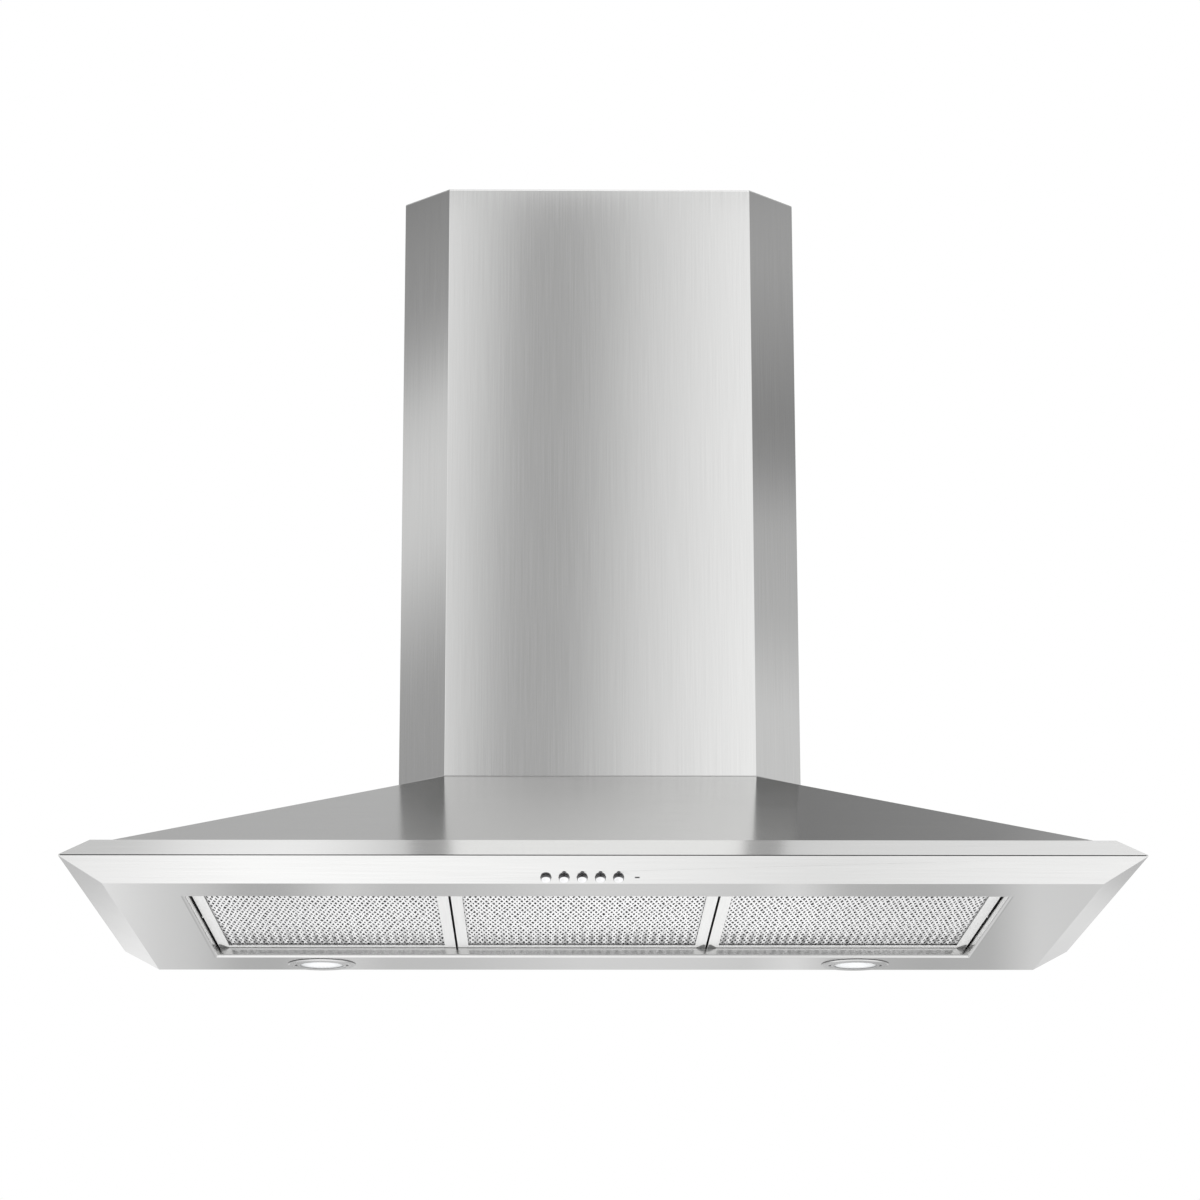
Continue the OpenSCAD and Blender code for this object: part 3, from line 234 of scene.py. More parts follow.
def makeWorld():
    world = bpy.data.worlds.new("studio")
    bpy.context.scene.world = world
    world.use_nodes = True
    tree = world.node_tree
    rays = tree.nodes.new("ShaderNodeLightPath")
    seen = tree.nodes.new("ShaderNodeMath")
    seen.operation = "MAXIMUM"
    tree.links.new(rays.outputs["Is Camera Ray"], seen.inputs[0])
    tree.links.new(rays.outputs["Is Transmission Ray"], seen.inputs[1])
    level = tree.nodes.new("ShaderNodeMix")
    level.data_type = "FLOAT"
    level.inputs[2].default_value = studio["sky"]
    level.inputs[3].default_value = studio["white"]
    tree.links.new(seen.outputs[0], level.inputs[0])
    shade = tree.nodes["Background"]
    shade.inputs["Color"].default_value = (1, 1, 1, 1)
    tree.links.new(level.outputs[0], shade.inputs["Strength"])


# name: place, point that it faces, width and height in metres, radiance
lamps = {
    "lampBelow": ((0.0, -0.05, -0.74), (0.0, -0.12, 0.0), 2.8, 1.1, 1.5),
    "lampFront": ((0.9, -2.6, 1.5), (0.0, -0.28, 0.35), 1.0, 1.4, 1.2),
    "lampTop": ((0.0, -1.0, 2.4), (0.0, -0.2, 0.2), 1.8, 1.0, 1.0),
    "lampBack": ((0.3, 2.4, 1.0), (0.0, 0.0, 0.3), 1.6, 1.6, 0.8),
}
mirroredLamps = ("lampTop",)   # elsewhere the cards give the steel its highlights


def makeLamp(name, place, target, width, height, radiance):
    data = bpy.data.lights.new(name, "AREA")
    data.shape = "RECTANGLE"
    data.size, data.size_y = width, height
    data.energy = radiance * width * height * math.pi
    lamp = putIn(name, data)
    way = Vector(target) - Vector(place)
    lamp.location = place
    lamp.rotation_euler = way.to_track_quat("-Z", "Y").to_euler()
    lamp.visible_camera = False
    lamp.visible_glossy = name in mirroredLamps


# glowing cards that the steel mirrors: three corners, the direction in which the glow
# changes, its levels at distances in metres along that direction, and whether they light
# dull surfaces too
cards = {
    "cardFront": {
        "corners": [(-0.45, -1.28, 0.0), (0.45, -1.28, 0.0), (-0.45, -1.28, 1.06)],
        "way": (1.0, 0.0, -0.04), "strength": 1.5,
        "levels": [(-0.28, 0.78), (-0.21, 0.68), (-0.16, 0.52), (-0.11, 0.34),
                   (-0.05, 0.34), (0.04, 0.57), (0.12, 0.71), (0.18, 0.79), (0.28, 0.74)],
    },
    "cardFrontHigh": {
        "corners": [(-0.45, -1.28, 1.07), (0.45, -1.28, 1.07), (-0.45, -1.28, 1.9)],
        "way": (1.0, 0.0, 0.0), "strength": 1.5,
        "levels": [(-0.25, 0.6), (-0.05, 0.66), (0.2, 0.78)],
    },
    "cardLeft": {
        "corners": [(-1.5, -1.0, 0.1), (-1.5, 0.5, 0.1), (-1.5, -1.0, 1.8)],
        "way": (0.0, 0.75, 1.0), "strength": 1.0,
        "levels": [(0.2, 0.43), (0.33, 0.45), (0.385, 0.47), (0.475, 0.64), (0.56, 0.84),
                   (0.66, 0.86), (0.735, 0.8), (0.8, 0.56), (0.86, 0.42), (1.0, 0.36),
                   (1.05, 0.34), (1.14, 0.09), (1.25, 0.09), (1.31, 0.5), (1.37, 0.62)],
    },
    "cardRight": {
        "corners": [(1.5, -1.0, 0.1), (1.5, 0.5, 0.1), (1.5, -1.0, 1.8)],
        "way": (0.0, 0.0, 1.0), "strength": 1.0,
        "levels": [(0.3, 0.76), (0.5, 0.78), (0.62, 0.6), (0.74, 0.57), (0.83, 0.36),
                   (0.89, 0.32), (1.01, 0.41), (1.1, 0.48), (1.2, 0.46), (1.3, 0.08),
                   (1.4, 0.08), (1.46, 0.5), (1.52, 0.6)],
    },
    "cardBehindRight": {
        "corners": [(0.17, 0.6, 0.3), (1.0, 0.6, 0.3), (0.17, 0.6, 1.7)],
        "way": (1.0, 0.0, 0.0), "strength": 1.0,
        "levels": [(0.2, 0.22), (0.5, 0.3), (0.62, 0.42)],
    },
    "cardBehindLeft": {
        "corners": [(-1.0, 0.6, 0.3), (-0.17, 0.6, 0.3), (-1.0, 0.6, 1.7)],
        "way": (1.0, 0.0, 0.0), "strength": 1.0,
        "levels": [(-0.65, 0.52), (-0.2, 0.56)],
    },
    "cardHigh": {
        "corners": [(-1.3, 0.0, 1.9), (1.3, 0.0, 1.9), (-1.3, 1.3, 1.9)],
        "way": (1.0, 0.0, 0.0), "strength": 1.25,
        "levels": [(-0.95, 0.6), (-0.63, 0.64), (-0.55, 0.9), (-0.39, 0.98), (-0.3, 0.82),
                   (-0.24, 0.62), (0.24, 0.62), (0.34, 0.74), (0.45, 0.78), (0.7, 0.85),
                   (1.0, 0.95)],
    },
    "cardLow": {
        "corners": [(-1.7, 1.2, -0.78), (1.7, 1.2, -0.78), (-1.7, 1.2, 0.12)],
        "way": (1.0, 0.0, 0.0), "strength": 1.0, "lights": False,
        "levels": [(-0.8, 0.6), (-0.76, 0.74), (-0.72, 0.86), (-0.66, 1.0), (-0.54, 0.74),
                   (-0.5, 0.68), (-0.44, 0.51), (-0.39, 0.5), (-0.31, 0.74),
                   (-0.25, 0.62), (-0.17, 0.63), (0.0, 0.76), (0.14, 0.74), (0.21, 0.7),
                   (0.27, 0.84), (0.34, 0.55), (0.44, 0.49), (0.52, 0.52), (0.58, 0.76),
                   (0.65, 0.72), (0.78, 0.86), (0.83, 0.56)],
    },
    "cardFloor": {
        "corners": [(-1.7, -0.9, -0.77), (1.7, -0.9, -0.77), (-1.7, 0.5, -0.77)],
        "way": (1.0, 0.0, 0.0), "strength": 1.5, "lights": False,
        "levels": [(-0.75, 0.7), (-0.6, 0.74), (-0.36, 0.92), (-0.25, 0.9), (-0.1, 0.86),
                   (0.1, 0.78), (0.25, 0.7), (0.45, 0.8), (0.65, 0.84)],
    },
}
cardEnds = 0.01                # how far a ramp goes on past its first and last level


def makeCard(name, card):
    bm = bmesh.new()
    first, second, third = (Vector(corner) for corner in card["corners"])
    across, up = second - first, third - first
    bmesh.ops.create_grid(bm, x_segments=1, y_segments=1, size=0.5)
    turn = Matrix((across, up, across.cross(up))).transposed()
    bmesh.ops.transform(bm, verts=bm.verts, matrix=turn.to_4x4())
    bmesh.ops.translate(bm, verts=bm.verts, vec=first + (across + up) / 2)
    sheet = meshFrom(bm, name)
    levels = card["levels"]
    start, end = levels[0][0] - cardEnds, levels[-1][0] + cardEnds
    finish = Finish(name, Base_Color=(0.0, 0.0, 0.0), Specular_IOR_Level=0.0,
                    Emission_Strength=card["strength"])
    part = (finish.along(card["way"]) - start) / (end - start)
    stops = [((place - start) / (end - start), level) for place, level in levels]
    finish.set(Emission_Color=finish.ramp(part, stops))
    sheet.data.materials.append(finish.material)
    sheet.visible_camera = False
    sheet.visible_shadow = False
    sheet.visible_diffuse = card.get("lights", True)


bpy.context.scene.view_settings.view_transform = "Standard"
makeCamera()
makeFloor()
makeWorld()
for lampName, values in lamps.items():
    makeLamp(lampName, *values)
for cardName, card in cards.items():
    makeCard(cardName, card)
print("studio is set")


# in the finishes, marks, lines, clouds and the like say how fine a pattern is, and a bump
# is its depth in metres and its strength
steel = {
    "light": (0.72, 0.72, 0.715), "dark": (0.66, 0.66, 0.655), "tones": (0.3, 0.7),
    "rough": 0.14, "roughBase": -0.05, "roughLines": 0.06, "roughSmears": 0.04,
    "lines": 900.0, "alongLines": 0.012, "lineShare": 0.7,
    "clouds": 2.2, "cloudShare": 0.3,
    "smears": 14.0, "smearStretch": (1, 1, 0.35),
    "wallFrom": 0.9,           # how squarely a side wall faces sideways
    "bump": (0.00001, 0.5),
}


def brushLines(finish, along):
    # noise that is much finer across the lines than along them
    stretch = [1.0, 1.0, 1.0]
    stretch["xyz".index(along)] = steel["alongLines"]
    return finish.noise(steel["lines"], stretch, detail=3.0, rough=0.6)


def brushedSteel(name, along, lengthways=None, rough=steel["rough"], tone=1.0, metal=1.0,
                 wallShade=None):
    # lines along one axis, or along lengthways on the faces that look sideways;
    # a channel's side walls may get a painted shade, a plain grey that darkens them so
    # that the gaps beside them look dark
    finish = Finish(name, Metallic=metal)
    lines = brushLines(finish, along)
    if lengthways:
        aside, ahead = finish.axes(finish.facing)[:2]
        other = brushLines(finish, lengthways)
        lines = finish.either(abs(aside) > abs(ahead), lines, other)
    cloud = finish.noise(steel["clouds"])
    smear = finish.noise(steel["smears"], steel["smearStretch"], detail=3.0)
    shade = (lines * steel["lineShare"] + cloud * steel["cloudShare"]).clipped()
    first, last = steel["tones"]
    color = finish.blend(finish.ramp(shade, [(first, 0.0), (last, 1.0)]),
                         toned(steel["dark"], tone), toned(steel["light"], tone))
    # painted shade: the faces that look sideways take the plain grey
    if wallShade:
        isShadedWall = abs(finish.axes(finish.facing)[0]) > steel["wallFrom"]
        color = finish.blend(isShadedWall, color, (wallShade, wallShade, wallShade))
    finish.set(Base_Color=color)
    finish.set(Roughness=rough + steel["roughBase"] + lines * steel["roughLines"]
               + smear * steel["roughSmears"])
    return finish.bump(lines, *steel["bump"])


zinc = {
    "light": (0.6, 0.61, 0.63), "dark": (0.43, 0.44, 0.46), "metal": 0.9,
    "spangles": 90.0, "spangleShare": 0.6,
    "clouds": 25.0, "cloudShare": 0.4,
    "rough": 0.38, "roughSpangles": 0.16,
    "pits": 700.0, "bump": (0.00002, 0.3),
}


def galvanised(name):
    finish = Finish(name, Metallic=zinc["metal"])
    spangle = finish.add("ShaderNodeRGBToBW", None,
                         {0: finish.cells(zinc["spangles"], "F1", out=1)})
    cloud = finish.noise(zinc["clouds"], detail=3.0)
    shade = (spangle * zinc["spangleShare"] + cloud * zinc["cloudShare"]).clipped()
    finish.set(Base_Color=finish.blend(shade, zinc["dark"], zinc["light"]))
    finish.set(Roughness=zinc["rough"] + spangle * zinc["roughSpangles"])
    return finish.bump(finish.noise(zinc["pits"]), *zinc["bump"])


turned = {
    "tarnish": 0.75,           # darkest tone as a share of the colour
    "marks": 260.0, "markStretch": (1, 1, 3), "markShare": 0.5,
    "clouds": 30.0, "cloudShare": 0.5,
    "roughBase": -0.04, "roughMarks": 0.12,
    "bump": (0.00002, 0.35),
}


def plainMetal(name, color, rough):
    # turned or pressed metal with fine marks and slight tarnish
    finish = Finish(name, Metallic=1.0)
    marks = finish.noise(turned["marks"], turned["markStretch"], detail=4.0, rough=0.6)
    cloud = finish.noise(turned["clouds"])
    shade = (marks * turned["markShare"] + cloud * turned["cloudShare"]).clipped()
    finish.set(Base_Color=finish.blend(shade, toned(color, turned["tarnish"]), color))
    finish.set(Roughness=rough + turned["roughBase"] + marks * turned["roughMarks"])
    return finish.bump(marks, *turned["bump"])


buttonCap = {
    "faces": (0.0, -0.47, -0.88), "faceFrom": 0.85,
    "face": (0.82, 0.82, 0.83), "tarnish": 0.9,
    # the side wall's dark grey is a painted shade
    "side": (0.2, 0.2, 0.205),
    "rough": 0.1, "roughMarks": 0.1,
    "marks": 260.0, "bump": (0.00002, 0.3),
}


def buttonMetal(name):
    # polished cap whose side wall has a painted shade, a dark grey for the shadow of the
    # hole that it stands in
    finish = Finish(name, Metallic=1.0)
    marks = finish.noise(buttonCap["marks"], detail=4.0, rough=0.6)
    isFace = finish.along(buttonCap["faces"], finish.facing) > buttonCap["faceFrom"]
    face = finish.blend(marks, toned(buttonCap["face"], buttonCap["tarnish"]),
                        buttonCap["face"])
    finish.set(Base_Color=finish.blend(isFace, buttonCap["side"], face))
    finish.set(Roughness=buttonCap["rough"] + marks * buttonCap["roughMarks"])
    return finish.bump(marks, *buttonCap["bump"])


plastic = {
    "lighter": 1.12, "lighterBy": 0.004,
    "grain": 1600.0, "clouds": 18.0,
    "roughBase": -0.05, "roughGrain": 0.12,
    "bump": (0.00004, 0.4),
}


def moulded(name, color, rough, coat=0.0):
    # moulded plastic with a fine spark-eroded texture
    finish = Finish(name, Coat_Weight=coat)
    grain = finish.noise(plastic["grain"])
    lighter = tuple(min(1.0, value * plastic["lighter"] + plastic["lighterBy"])
                    for value in color)
    finish.set(Base_Color=finish.blend(finish.noise(plastic["clouds"]), color, lighter))
    finish.set(Roughness=rough + plastic["roughBase"] + grain * plastic["roughGrain"])
    return finish.bump(grain, *plastic["bump"])


# ring round a lamp: its painted shade is given as pairs of a share of its radius and a
# level, dark at the inner edge and in the groove
lampRing = {
    "centres": [(-0.26, -0.035), (0.244, -0.035)],
    # the darkest colour is that of the painted shade
    "tone": (0.7, 0.7, 0.7), "dark": (0.03, 0.03, 0.03),
    "radius": 0.032,
    "paintedShades": [(0.61, 0.3), (0.66, 1.0), (0.73, 1.0), (0.75, 0.45), (0.77, 1.0)],
    # painted shade in the two notches and on the rim next to the underside
    "notchAside": 0.024, "notchLonger": 2.4, "notchSize": 0.0013,
    "rimFrom": 0.0305, "rimAbove": -0.0005, "rimShadeDepth": 0.75,
    "lines": 2500.0, "lineShare": 0.15,
    "rough": 0.2, "roughLines": 0.12,
    "bump": (0.00002, 0.4),
}


def lampRadius(finish, aside=0.0, longer=1.0):
    # distance from the nearer lamp's centre, or from the points that lie aside of it;
    # longer stretches the rings from front to back
    x, y = finish.axes()[:2]
    rings = []
    for cx, cy in lampRing["centres"]:
        across = abs(x - cx) - aside
        rings.append((across ** 2.0 + ((y - cy) / longer) ** 2.0) ** 0.5)
    return rings[0].maths("MINIMUM", rings[1])


def turnedSteel(name):
    # concentric brushing, with painted shade in the groove, at the rim and in the two
    # notches of a ring
    finish = Finish(name, Metallic=1.0)
    radius = lampRadius(finish)
    height = finish.axes()[2]
    place = finish.add("ShaderNodeCombineXYZ", None, {0: radius, 1: 0.0, 2: height})
    values = {"Vector": place, "Scale": lampRing["lines"], "Detail": 2.0}
    lines = finish.add("ShaderNodeTexNoise", {"noise_dimensions": "3D"}, values)
    shade = finish.ramp(radius / lampRing["radius"], lampRing["paintedShades"])
    share = lampRing["lineShare"]
    # painted shade in the notches and on the rim where it meets the underside
    notchShade = (lampRadius(finish, lampRing["notchAside"], lampRing["notchLonger"])
             < lampRing["notchSize"])
    rimShade = ((radius > lampRing["rimFrom"]) * (height > lampRing["rimAbove"])
           * lampRing["rimShadeDepth"])
    level = (shade * (1 - share + lines * share) - notchShade - rimShade).clipped()
    finish.set(Base_Color=finish.blend(level, lampRing["dark"], lampRing["tone"]))
    finish.set(Roughness=lampRing["rough"] + lines * lampRing["roughLines"])
    return finish.bump(lines, *lampRing["bump"])


lampPane = {
    "light": (0.8, 0.81, 0.82), "dark": (0.42, 0.43, 0.44),
    "radius": 0.02, "glow": [(0.5, 1.0), (0.85, 0.7), (1.0, 0.1)], "glowShadeShare": 0.85,
    "strength": 0.12, "clear": 0.25, "bends": 1.5,
    "clouds": 60.0, "cloudShare": 0.15,
    "frost": 900.0, "rough": 0.3, "roughFrost": 0.2,
    "bump": (0.00005, 0.5),
}


def frostedGlass(name):
    # lit from behind, dimmer towards its rim
    finish = Finish(name, IOR=lampPane["bends"], Transmission_Weight=lampPane["clear"],
                    Emission_Strength=lampPane["strength"])
    glow = finish.ramp(lampRadius(finish) / lampPane["radius"], lampPane["glow"])
    frost = finish.noise(lampPane["frost"])
    cloud = finish.noise(lampPane["clouds"])
    shade = (glow * lampPane["glowShadeShare"] + cloud * lampPane["cloudShare"]).clipped()
    finish.set(Emission_Color=glow)
    # the glow also darkens the base colour towards the rim: painted shade
    finish.set(Base_Color=finish.blend(shade, lampPane["dark"], lampPane["light"]))
    finish.set(Roughness=lampPane["rough"] + frost * lampPane["roughFrost"])
    return finish.bump(frost, *lampPane["bump"])


bulb = {
    "glow": (1.0, 0.9, 0.75), "strength": 0.6, "bends": 1.5,
    "capsule": (0.95, 0.93, 0.9), "base": (0.8, 0.78, 0.72),
    "baseFrom": 0.0205, "baseShare": 0.8,
    "clouds": 200.0, "cloudShare": 0.2,
    "rough": 0.08, "roughBase": 0.4,
    "bump": (0.00003, 0.2),
}


def capsuleGlass(name):
    # clear capsule on a ceramic base
    finish = Finish(name, IOR=bulb["bends"], Emission_Color=bulb["glow"],
                    Emission_Strength=bulb["strength"])
    isBase = finish.axes()[2] > bulb["baseFrom"]
    cloud = finish.noise(bulb["clouds"], detail=3.0)
    shade = (isBase * bulb["baseShare"] + cloud * bulb["cloudShare"]).clipped()
    finish.set(Base_Color=finish.blend(shade, bulb["capsule"], bulb["base"]))
    finish.set(Roughness=bulb["rough"] + isBase * bulb["roughBase"])
    return finish.bump(cloud, *bulb["bump"])


board = {
    "coat": 0.3,
    "lacquer": (0.02, 0.11, 0.05), "track": (0.06, 0.24, 0.1),
    "tracks": 260.0, "trackWidth": 0.06,
    "rough": 0.35, "smoother": 0.08,
    "bump": (0.00004, 0.4),
}


def greenBoard(name):
    # circuit board with its tracks under green lacquer
    finish = Finish(name, Coat_Weight=board["coat"])
    track = finish.cells(board["tracks"], "DISTANCE_TO_EDGE") < board["trackWidth"]
    finish.set(Base_Color=finish.blend(track, board["lacquer"], board["track"]))
    finish.set(Roughness=board["rough"] - track * board["smoother"])
    return finish.bump(track, *board["bump"])


strands = {
    "metal": 0.42,
    "bright": (0.96, 0.96, 0.965), "foldShadeAndFlecks": (0.1, 0.1, 0.1),
    "flecks": 230.0, "fleckStretch": (1, 0.34, 1),
    "fleckStops": [(0.36, 0.0), (0.5, 1.0)], "fleckShare": 0.15,
    "fold": 0.0082, "foldShadeShare": 0.72,
    "clouds": 9.0, "cloudStretch": (1, 0.2, 1), "cloudStops": [(0.4, 0.65), (0.6, 1.0)],
    "backFrom": -0.21, "backLength": 0.14,
    "backStops": [(0.1, 0.0), (0.5, 0.45), (0.6, 1.0), (0.85, 1.0), (0.92, 0.5)],
    "rough": 0.24, "roughDull": 0.2,
    "bump": (0.0001, 0.5),
}


def meshMetal(name):
    # bright aluminium, flecked where lower layers show through, with a painted shade of
    # their folds towards the back end
    finish = Finish(name, Metallic=strands["metal"])
    x, y = finish.axes()[:2]
    flecks = finish.noise(strands["flecks"], strands["fleckStretch"], detail=1.0)
    fleck = finish.ramp(flecks, strands["fleckStops"])
    fold = (x * (2 * math.pi / strands["fold"])).maths("SINE") * 0.5 + 0.5
    clouds = finish.noise(strands["clouds"], strands["cloudStretch"])
    cloud = finish.ramp(clouds, strands["cloudStops"])
    backEndShade = finish.ramp((y - strands["backFrom"]) / strands["backLength"],
                          strands["backStops"])
    # painted shade of the folds near the back end, added to random dark flecks
    foldShadeAndFlecks = (fold * cloud * backEndShade * strands["foldShadeShare"]
            + (1.0 - fleck) * strands["fleckShare"]).clipped()
    finish.set(Base_Color=finish.blend(foldShadeAndFlecks, strands["bright"], strands["foldShadeAndFlecks"]))
    finish.set(Roughness=strands["rough"] + foldShadeAndFlecks * strands["roughDull"])
    return finish.bump(fleck, *strands["bump"])


inner = {
    "metal": 0.8,
    "hole": (0.02, 0.02, 0.02), "strand": (0.4, 0.4, 0.4),
    "cells": 320.0, "cellStretch": (1.0, 0.45, 1.0),
    "strandStops": [(0.06, 1.0), (0.16, 0.0)],
    "rough": 0.5, "smoother": 0.15,
    "bump": (0.0004, 0.8),
}


def innerMesh(name):
    # corrugated layers of expanded mesh, as a net of strands over holes filled with
    # painted shade
    finish = Finish(name, Metallic=inner["metal"])
    cell = finish.cells(inner["cells"], "DISTANCE_TO_EDGE",
                        finish.stretched(inner["cellStretch"]))
    strand = finish.ramp(cell, inner["strandStops"])
    # the holes' near-black is painted shade
    finish.set(Base_Color=finish.blend(strand, inner["hole"], inner["strand"]))
    finish.set(Roughness=inner["rough"] - strand * inner["smoother"])
    return finish.bump(strand, *inner["bump"])


finishes = {
    "canopySteel": brushedSteel("canopySteel", "x", "y"),
    "flueSteel": brushedSteel("flueSteel", "z", rough=0.11),
    "panelSteel": brushedSteel("panelSteel", "x", "y"),
    "galvanised": galvanised("galvanised"),
    "guideNylon": moulded("guideNylon", (0.78, 0.78, 0.75), 0.45),
    "screwSteel": plainMetal("screwSteel", (0.55, 0.55, 0.54), 0.3),
    "blowerBlack": moulded("blowerBlack", (0.022, 0.023, 0.026), 0.5),
    "motorPaint": moulded("motorPaint", (0.13, 0.13, 0.14), 0.45, coat=0.2),
    "shaftSteel": plainMetal("shaftSteel", (0.62, 0.62, 0.62), 0.22),
    "flapGrey": moulded("flapGrey", (0.62, 0.62, 0.6), 0.5),
    "bushRubber": moulded("bushRubber", (0.02, 0.02, 0.02), 0.7),
    "boxWhite": moulded("boxWhite", (0.76, 0.76, 0.73), 0.45),
    "capacitorWhite": moulded("capacitorWhite", (0.8, 0.8, 0.78), 0.3, coat=0.3),
    "driverBlack": moulded("driverBlack", (0.03, 0.03, 0.035), 0.45),
    "switchBlack": moulded("switchBlack", (0.03, 0.03, 0.035), 0.4),
    "boardGreen": greenBoard("boardGreen"),
    "lensDark": moulded("lensDark", (0.025, 0.025, 0.028), 0.12, coat=0.6),
    "buttonChrome": buttonMetal("buttonChrome"),
    "bezelSteel": turnedSteel("bezelSteel"),
    "lampGlass": frostedGlass("lampGlass"),
    "bulbGlass": capsuleGlass("bulbGlass"),
    # the frames' side walls get a painted shade of 0.12 grey
    "filterFrame": brushedSteel("filterFrame", "y", rough=0.34, tone=1.3, metal=0.7,
                                wallShade=0.12),
    "meshMetal": meshMetal("meshMetal"),
    "innerMesh": innerMesh("innerMesh"),
    # the dark grey of the corner tabs is a painted reflection
    "tabDarkReflection": plainMetal("tabDarkReflection", (0.2, 0.2, 0.2), 0.3),
    "latchSteel": plainMetal("latchSteel", (0.66, 0.66, 0.66), 0.25),
    "springSteel": plainMetal("springSteel", (0.5, 0.5, 0.5), 0.25),
}

sides = ("left", "middle", "right")
worn = {
    "canopySteel": ["canopy_shell"],
    "panelSteel": ["underside_pan"],
    "flueSteel": ["lower_flue_cover", "upper_flue_cover"],
    "galvanised": ["back_panel", "top_plate", "upper_flue_bracket", "air_box",
                   "air_box_front", "motor_bracket", "capacitor_clip", "lamp_cup_left",
                   "lamp_cup_right"],
    "guideNylon": ["flue_guides"],
    "screwSteel": ["upper_flue_screws", "air_box_screws", "blower_screws",
                   "collar_screws", "impeller_nut"],
    "blowerBlack": ["blower_housing_left", "blower_housing_right", "outlet_collar",
                    "impeller", "impeller_ring_right"],
    "motorPaint": ["motor"],
    "shaftSteel": ["motor_shaft"],
    "flapGrey": ["damper_flap_front", "damper_flap_back"],
    "bushRubber": ["cable_bush"],
    "boxWhite": ["control_box", "control_box_lid"],
    "capacitorWhite": ["capacitor"],
    "driverBlack": ["lamp_driver"],
    "switchBlack": ["switch_housing", "push_switches"],
    "boardGreen": ["switch_board"],
    "lensDark": ["indicator_lenses"],
    "buttonChrome": [f"button_{i}" for i in range(1, 6)],
    "bezelSteel": ["lamp_bezel_left", "lamp_bezel_right"],
    "lampGlass": ["lamp_glass_left", "lamp_glass_right"],
    "bulbGlass": ["lamp_bulb_left", "lamp_bulb_right"],
    "filterFrame": [f"filter_frame_{side}" for side in sides],
    "innerMesh": [f"filter_mesh_{side}" for side in sides],
    "latchSteel": [f"filter_latch_{side}" for side in sides],
    "springSteel": [f"latch_spring_{side}" for side in sides],
}
for finishName, nodeNames in worn.items():
    for nodeName in nodeNames:
        for slot in nodes[nodeName].material_slots:
            slot.material = finishes[finishName]
print("finishes are on the frame")


# softened edges of the folded and moulded parts, in mm
edges = {
    "canopy_shell": 0.5, "underside_pan": 0.4, "lower_flue_cover": 0.8,
    "lamp_bezel_left": 0.2, "lamp_bezel_right": 0.2,
    "filter_frame_left": 0.25, "filter_frame_middle": 0.25, "filter_frame_right": 0.25,
    "back_panel": 0.2, "top_plate": 0.3, "air_box": 0.3, "air_box_front": 0.3,
    "control_box": 0.6, "control_box_lid": 0.6, "lamp_driver": 0.6,
}
softening = {"merge": 0.00001, "segments": 2, "sharpFrom": 24}


def softenEdges(piece, width):
    weld = piece.modifiers.new("weld", "WELD")
    weld.merge_threshold = softening["merge"]
    bevel = piece.modifiers.new("bevel", "BEVEL")
    bevel.width = width * mm
    bevel.segments = softening["segments"]
    bevel.limit_method = "ANGLE"
    bevel.angle_limit = math.radians(softening["sharpFrom"])
    bevel.use_clamp_overlap = True


for nodeName, width in edges.items():
    softenEdges(nodes[nodeName], width)
print("edges are softened")


def finished(bm, name, finishName):
    # new piece from a bmesh in metres
    piece = meshFrom(bm, name)
    piece.data.materials.append(finishes[finishName])
    return piece


def toMetres(bm):
    bmesh.ops.scale(bm, verts=bm.verts, vec=(mm, mm, mm))


# expanded mesh of a filter, in mm: one layer under the corrugated sheet and one over it
meshPad = {
    "spans": {"left": (-353.0, -132.5), "middle": (-130.5, 100.5),
              "right": (102.5, 344.5)},
    "front": -401.5, "back": -77.3, "margin": 1.2,
    "heights": {"expandedMesh": 11.15, "upperMesh": 16.3},
    "cell": (4.5, 22.0),       # width and length of a diamond
    "uneven": (0.5, 2.4),      # how far a knot may stand off its place
    "seed": 11,
    "strand": 0.95,            # half the width of a strand
    "thick": 0.25,
    "tilt": 0.05,              # how far the strands are turned out of the sheet
    "tiltOver": 0.3,           # share of a diamond's length over which they turn
    "case": (72.0, 27.0),      # latch's case with its clearance
    "caseRoom": (1.0, 2.0),    # further room beside and behind it
    "snap": 0.01,              # a cut moves no knot that is nearer than this
}


def cut(bm, geom, place, way, clear=False):
    bmesh.ops.bisect_plane(bm, geom=geom, dist=meshPad["snap"], plane_co=place,
                           plane_no=way, clear_outer=clear)


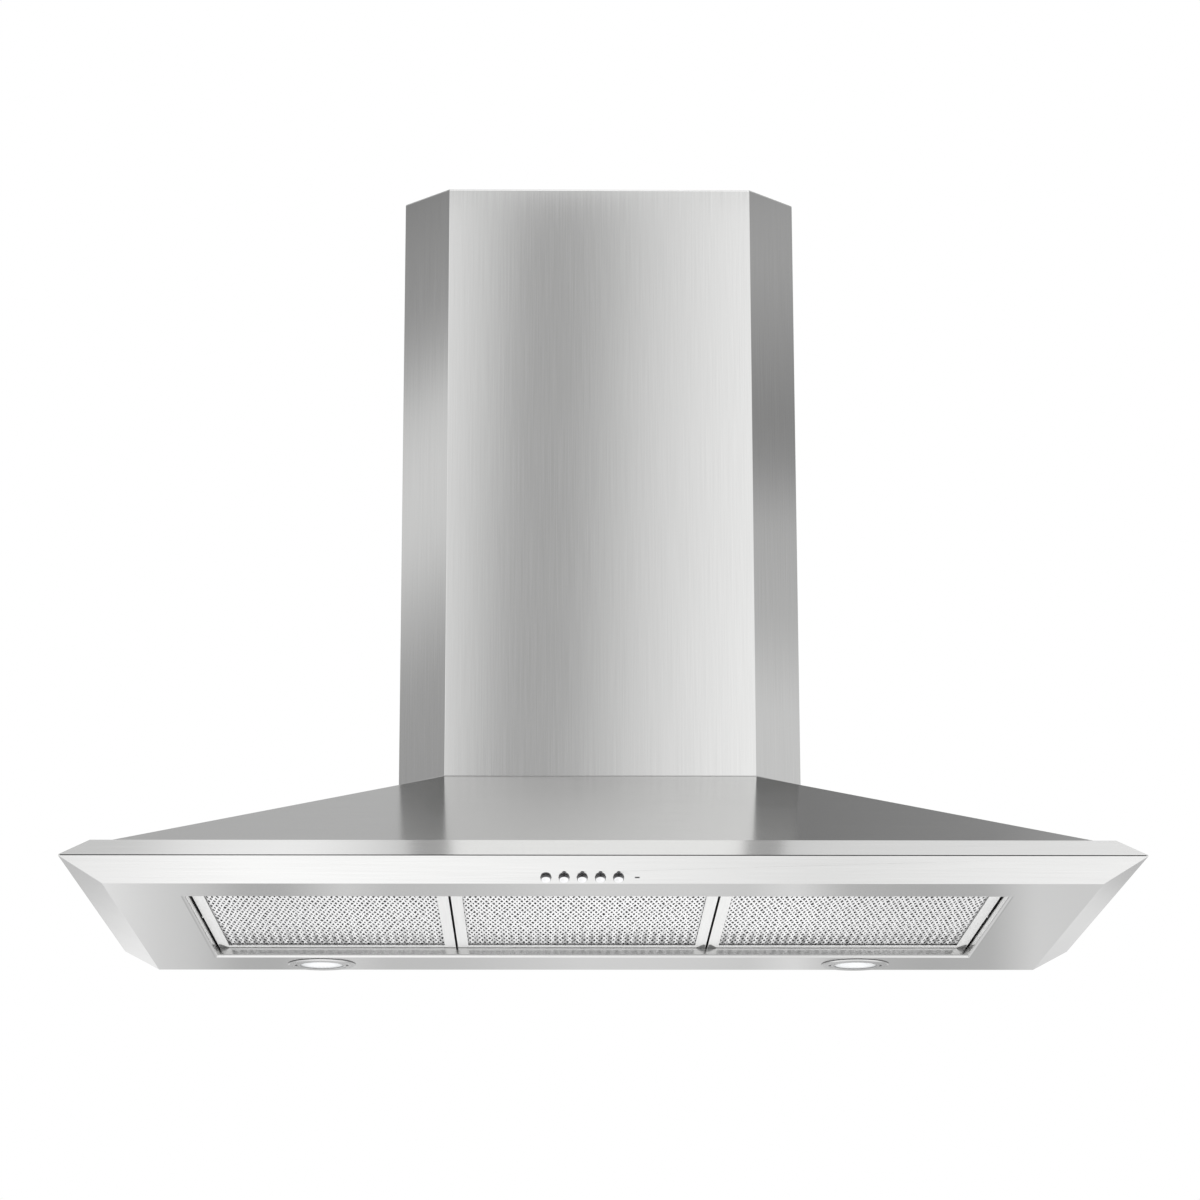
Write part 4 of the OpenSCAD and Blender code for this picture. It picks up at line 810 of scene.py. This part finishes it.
def makePad(side, layer):
    margin = meshPad["margin"]
    x0, x1 = meshPad["spans"][side]
    x0, x1 = x0 + margin, x1 - margin
    y0, y1 = meshPad["front"] + margin, meshPad["back"] - margin
    width, length = meshPad["cell"]
    middle = Vector(((x0 + x1) / 2, (y0 + y1) / 2, 0))

    # a square net, turned by 45 degrees and stretched into diamonds, with a spare row
    cells = math.ceil((x1 - x0) / width + (y1 - y0) / length) + 2
    bm = bmesh.new()
    bmesh.ops.create_grid(bm, x_segments=cells, y_segments=cells, size=cells / 2)
    bmesh.ops.rotate(bm, verts=bm.verts, matrix=Matrix.Rotation(math.pi / 4, 3, "Z"))
    bmesh.ops.scale(bm, verts=bm.verts,
                    vec=(width / math.sqrt(2), length / math.sqrt(2), 1))
    bmesh.ops.translate(bm, verts=bm.verts, vec=middle)
    draw = random.Random(meshPad["seed"])
    acrossMost, alongMost = meshPad["uneven"]
    for vert in bm.verts:
        vert.co.x += draw.uniform(-acrossMost, acrossMost)
        vert.co.y += draw.uniform(-alongMost, alongMost)
    for place, way in (((x0, 0, 0), (-1, 0, 0)), ((x1, 0, 0), (1, 0, 0)),
                       ((0, y0, 0), (0, -1, 0)), ((0, y1, 0), (0, 1, 0))):
        cut(bm, bm.verts[:] + bm.edges[:] + bm.faces[:], place, way, clear=True)

    aside = meshPad["case"][0] / 2 + meshPad["caseRoom"][0]
    behind = meshPad["front"] + meshPad["case"][1] + meshPad["caseRoom"][1]

    def facesRound(extraX, extraY):
        found = []
        for face in bm.faces:
            centre = face.calc_center_median()
            if abs(centre.x - middle.x) < aside + extraX and centre.y < behind + extraY:
                found.append(face)
        return found

    # the opening for the latch's case is cut straight, only in the cells that it crosses
    for place, way in (((middle.x - aside, 0, 0), (1, 0, 0)),
                       ((middle.x + aside, 0, 0), (1, 0, 0)),
                       ((0, behind, 0), (0, 1, 0))):
        near = facesRound(width, length)
        parts = dict.fromkeys(part for face in near
                              for part in (*face.verts, *face.edges))
        cut(bm, near + list(parts), place, way)
    bmesh.ops.delete(bm, geom=facesRound(0, 0), context="FACES")

    # the inset leaves a strand round each hole, higher at one end of it than at the other
    holes = bm.faces[:]
    bmesh.ops.inset_individual(bm, faces=holes, thickness=meshPad["strand"],
                               use_even_offset=True)
    for face in holes:
        centre = face.calc_center_median()
        for vert in face.verts:
            lean = (vert.co.y - centre.y) / (meshPad["tiltOver"] * length)
            vert.co.z += meshPad["tilt"] * max(-1.0, min(1.0, lean))
    bmesh.ops.delete(bm, geom=holes, context="FACES_ONLY")
    bmesh.ops.translate(bm, verts=bm.verts, vec=(0, 0, meshPad["heights"][layer]))
    toMetres(bm)
    pad = finished(bm, f"{layer}_{side}", "meshMetal")
    thick = pad.modifiers.new("thickness", "SOLIDIFY")
    thick.thickness = meshPad["thick"] * mm
    thick.offset = 0
    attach(pad, f"filter_{side}")
    print(side, layer, "has", len(pad.data.polygons), "faces")


for side in sides:
    for layer in meshPad["heights"]:
        makePad(side, layer)


# latch springs, smoothed copies that ride with their filter: in mm, and merge in metres
latchCoil = {"fixedEnd": -376.5, "stroke": 6.0, "merge": 0.000001}


def makeCoil(side):
    node = f"latch_spring_{side}"
    bm = bmesh.new()
    bm.from_mesh(nodes[node].data)
    bmesh.ops.remove_doubles(bm, verts=bm.verts, dist=latchCoil["merge"])
    for face in bm.faces:
        face.smooth = True
    coil = finished(bm, f"coil_{side}", "springSteel")
    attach(coil, f"filter_{side}")
    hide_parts(node)
    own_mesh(coil)


for side in sides:
    makeCoil(side)


# turned-in corners of the filters' channels, in a dark grey that is a painted reflection:
# filter, corner's x in mm, way inwards
cornerTabs = {
    "tabLeftOuter": ("left", -352.9, 1), "tabMiddleRight": ("middle", 100.4, -1),
    "tabRightInner": ("right", 102.6, 1), "tabRightOuter": ("right", 344.4, -1),
}
tabShape = {
    "width": 8.0, "length": 17.0, "thick": 0.3,
    "mitre": 0.7,              # inner front corner is drawn out by this times the width
    "edge": 0.1,
    "aside": 0.3, "back": -77.4, "height": 8.99,
}


def makeTab(name, side, x, inwards):
    width, length = tabShape["width"], tabShape["length"]
    bm = bmesh.new()
    bmesh.ops.create_cube(bm, size=1)
    bmesh.ops.scale(bm, verts=bm.verts, vec=(width, length, tabShape["thick"]))
    frontInner = [vert for vert in bm.verts if vert.co.y < 0 and vert.co.x * inwards > 0]
    bmesh.ops.translate(bm, verts=frontInner,
                        vec=(-inwards * width * tabShape["mitre"], 0, 0))
    bmesh.ops.bevel(bm, geom=bm.edges[:], offset=tabShape["edge"], segments=2,
                    profile=0.5, affect="EDGES", material=-1, offset_type="OFFSET")
    bmesh.ops.translate(bm, verts=bm.verts,
                        vec=(x + inwards * (width / 2 + tabShape["aside"]),
                             tabShape["back"] - length / 2, tabShape["height"]))
    toMetres(bm)
    tab = finished(bm, name, "tabDarkReflection")
    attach(tab, f"filter_{side}")


for tabName, values in cornerTabs.items():
    makeTab(tabName, *values)
print("filters are dressed")
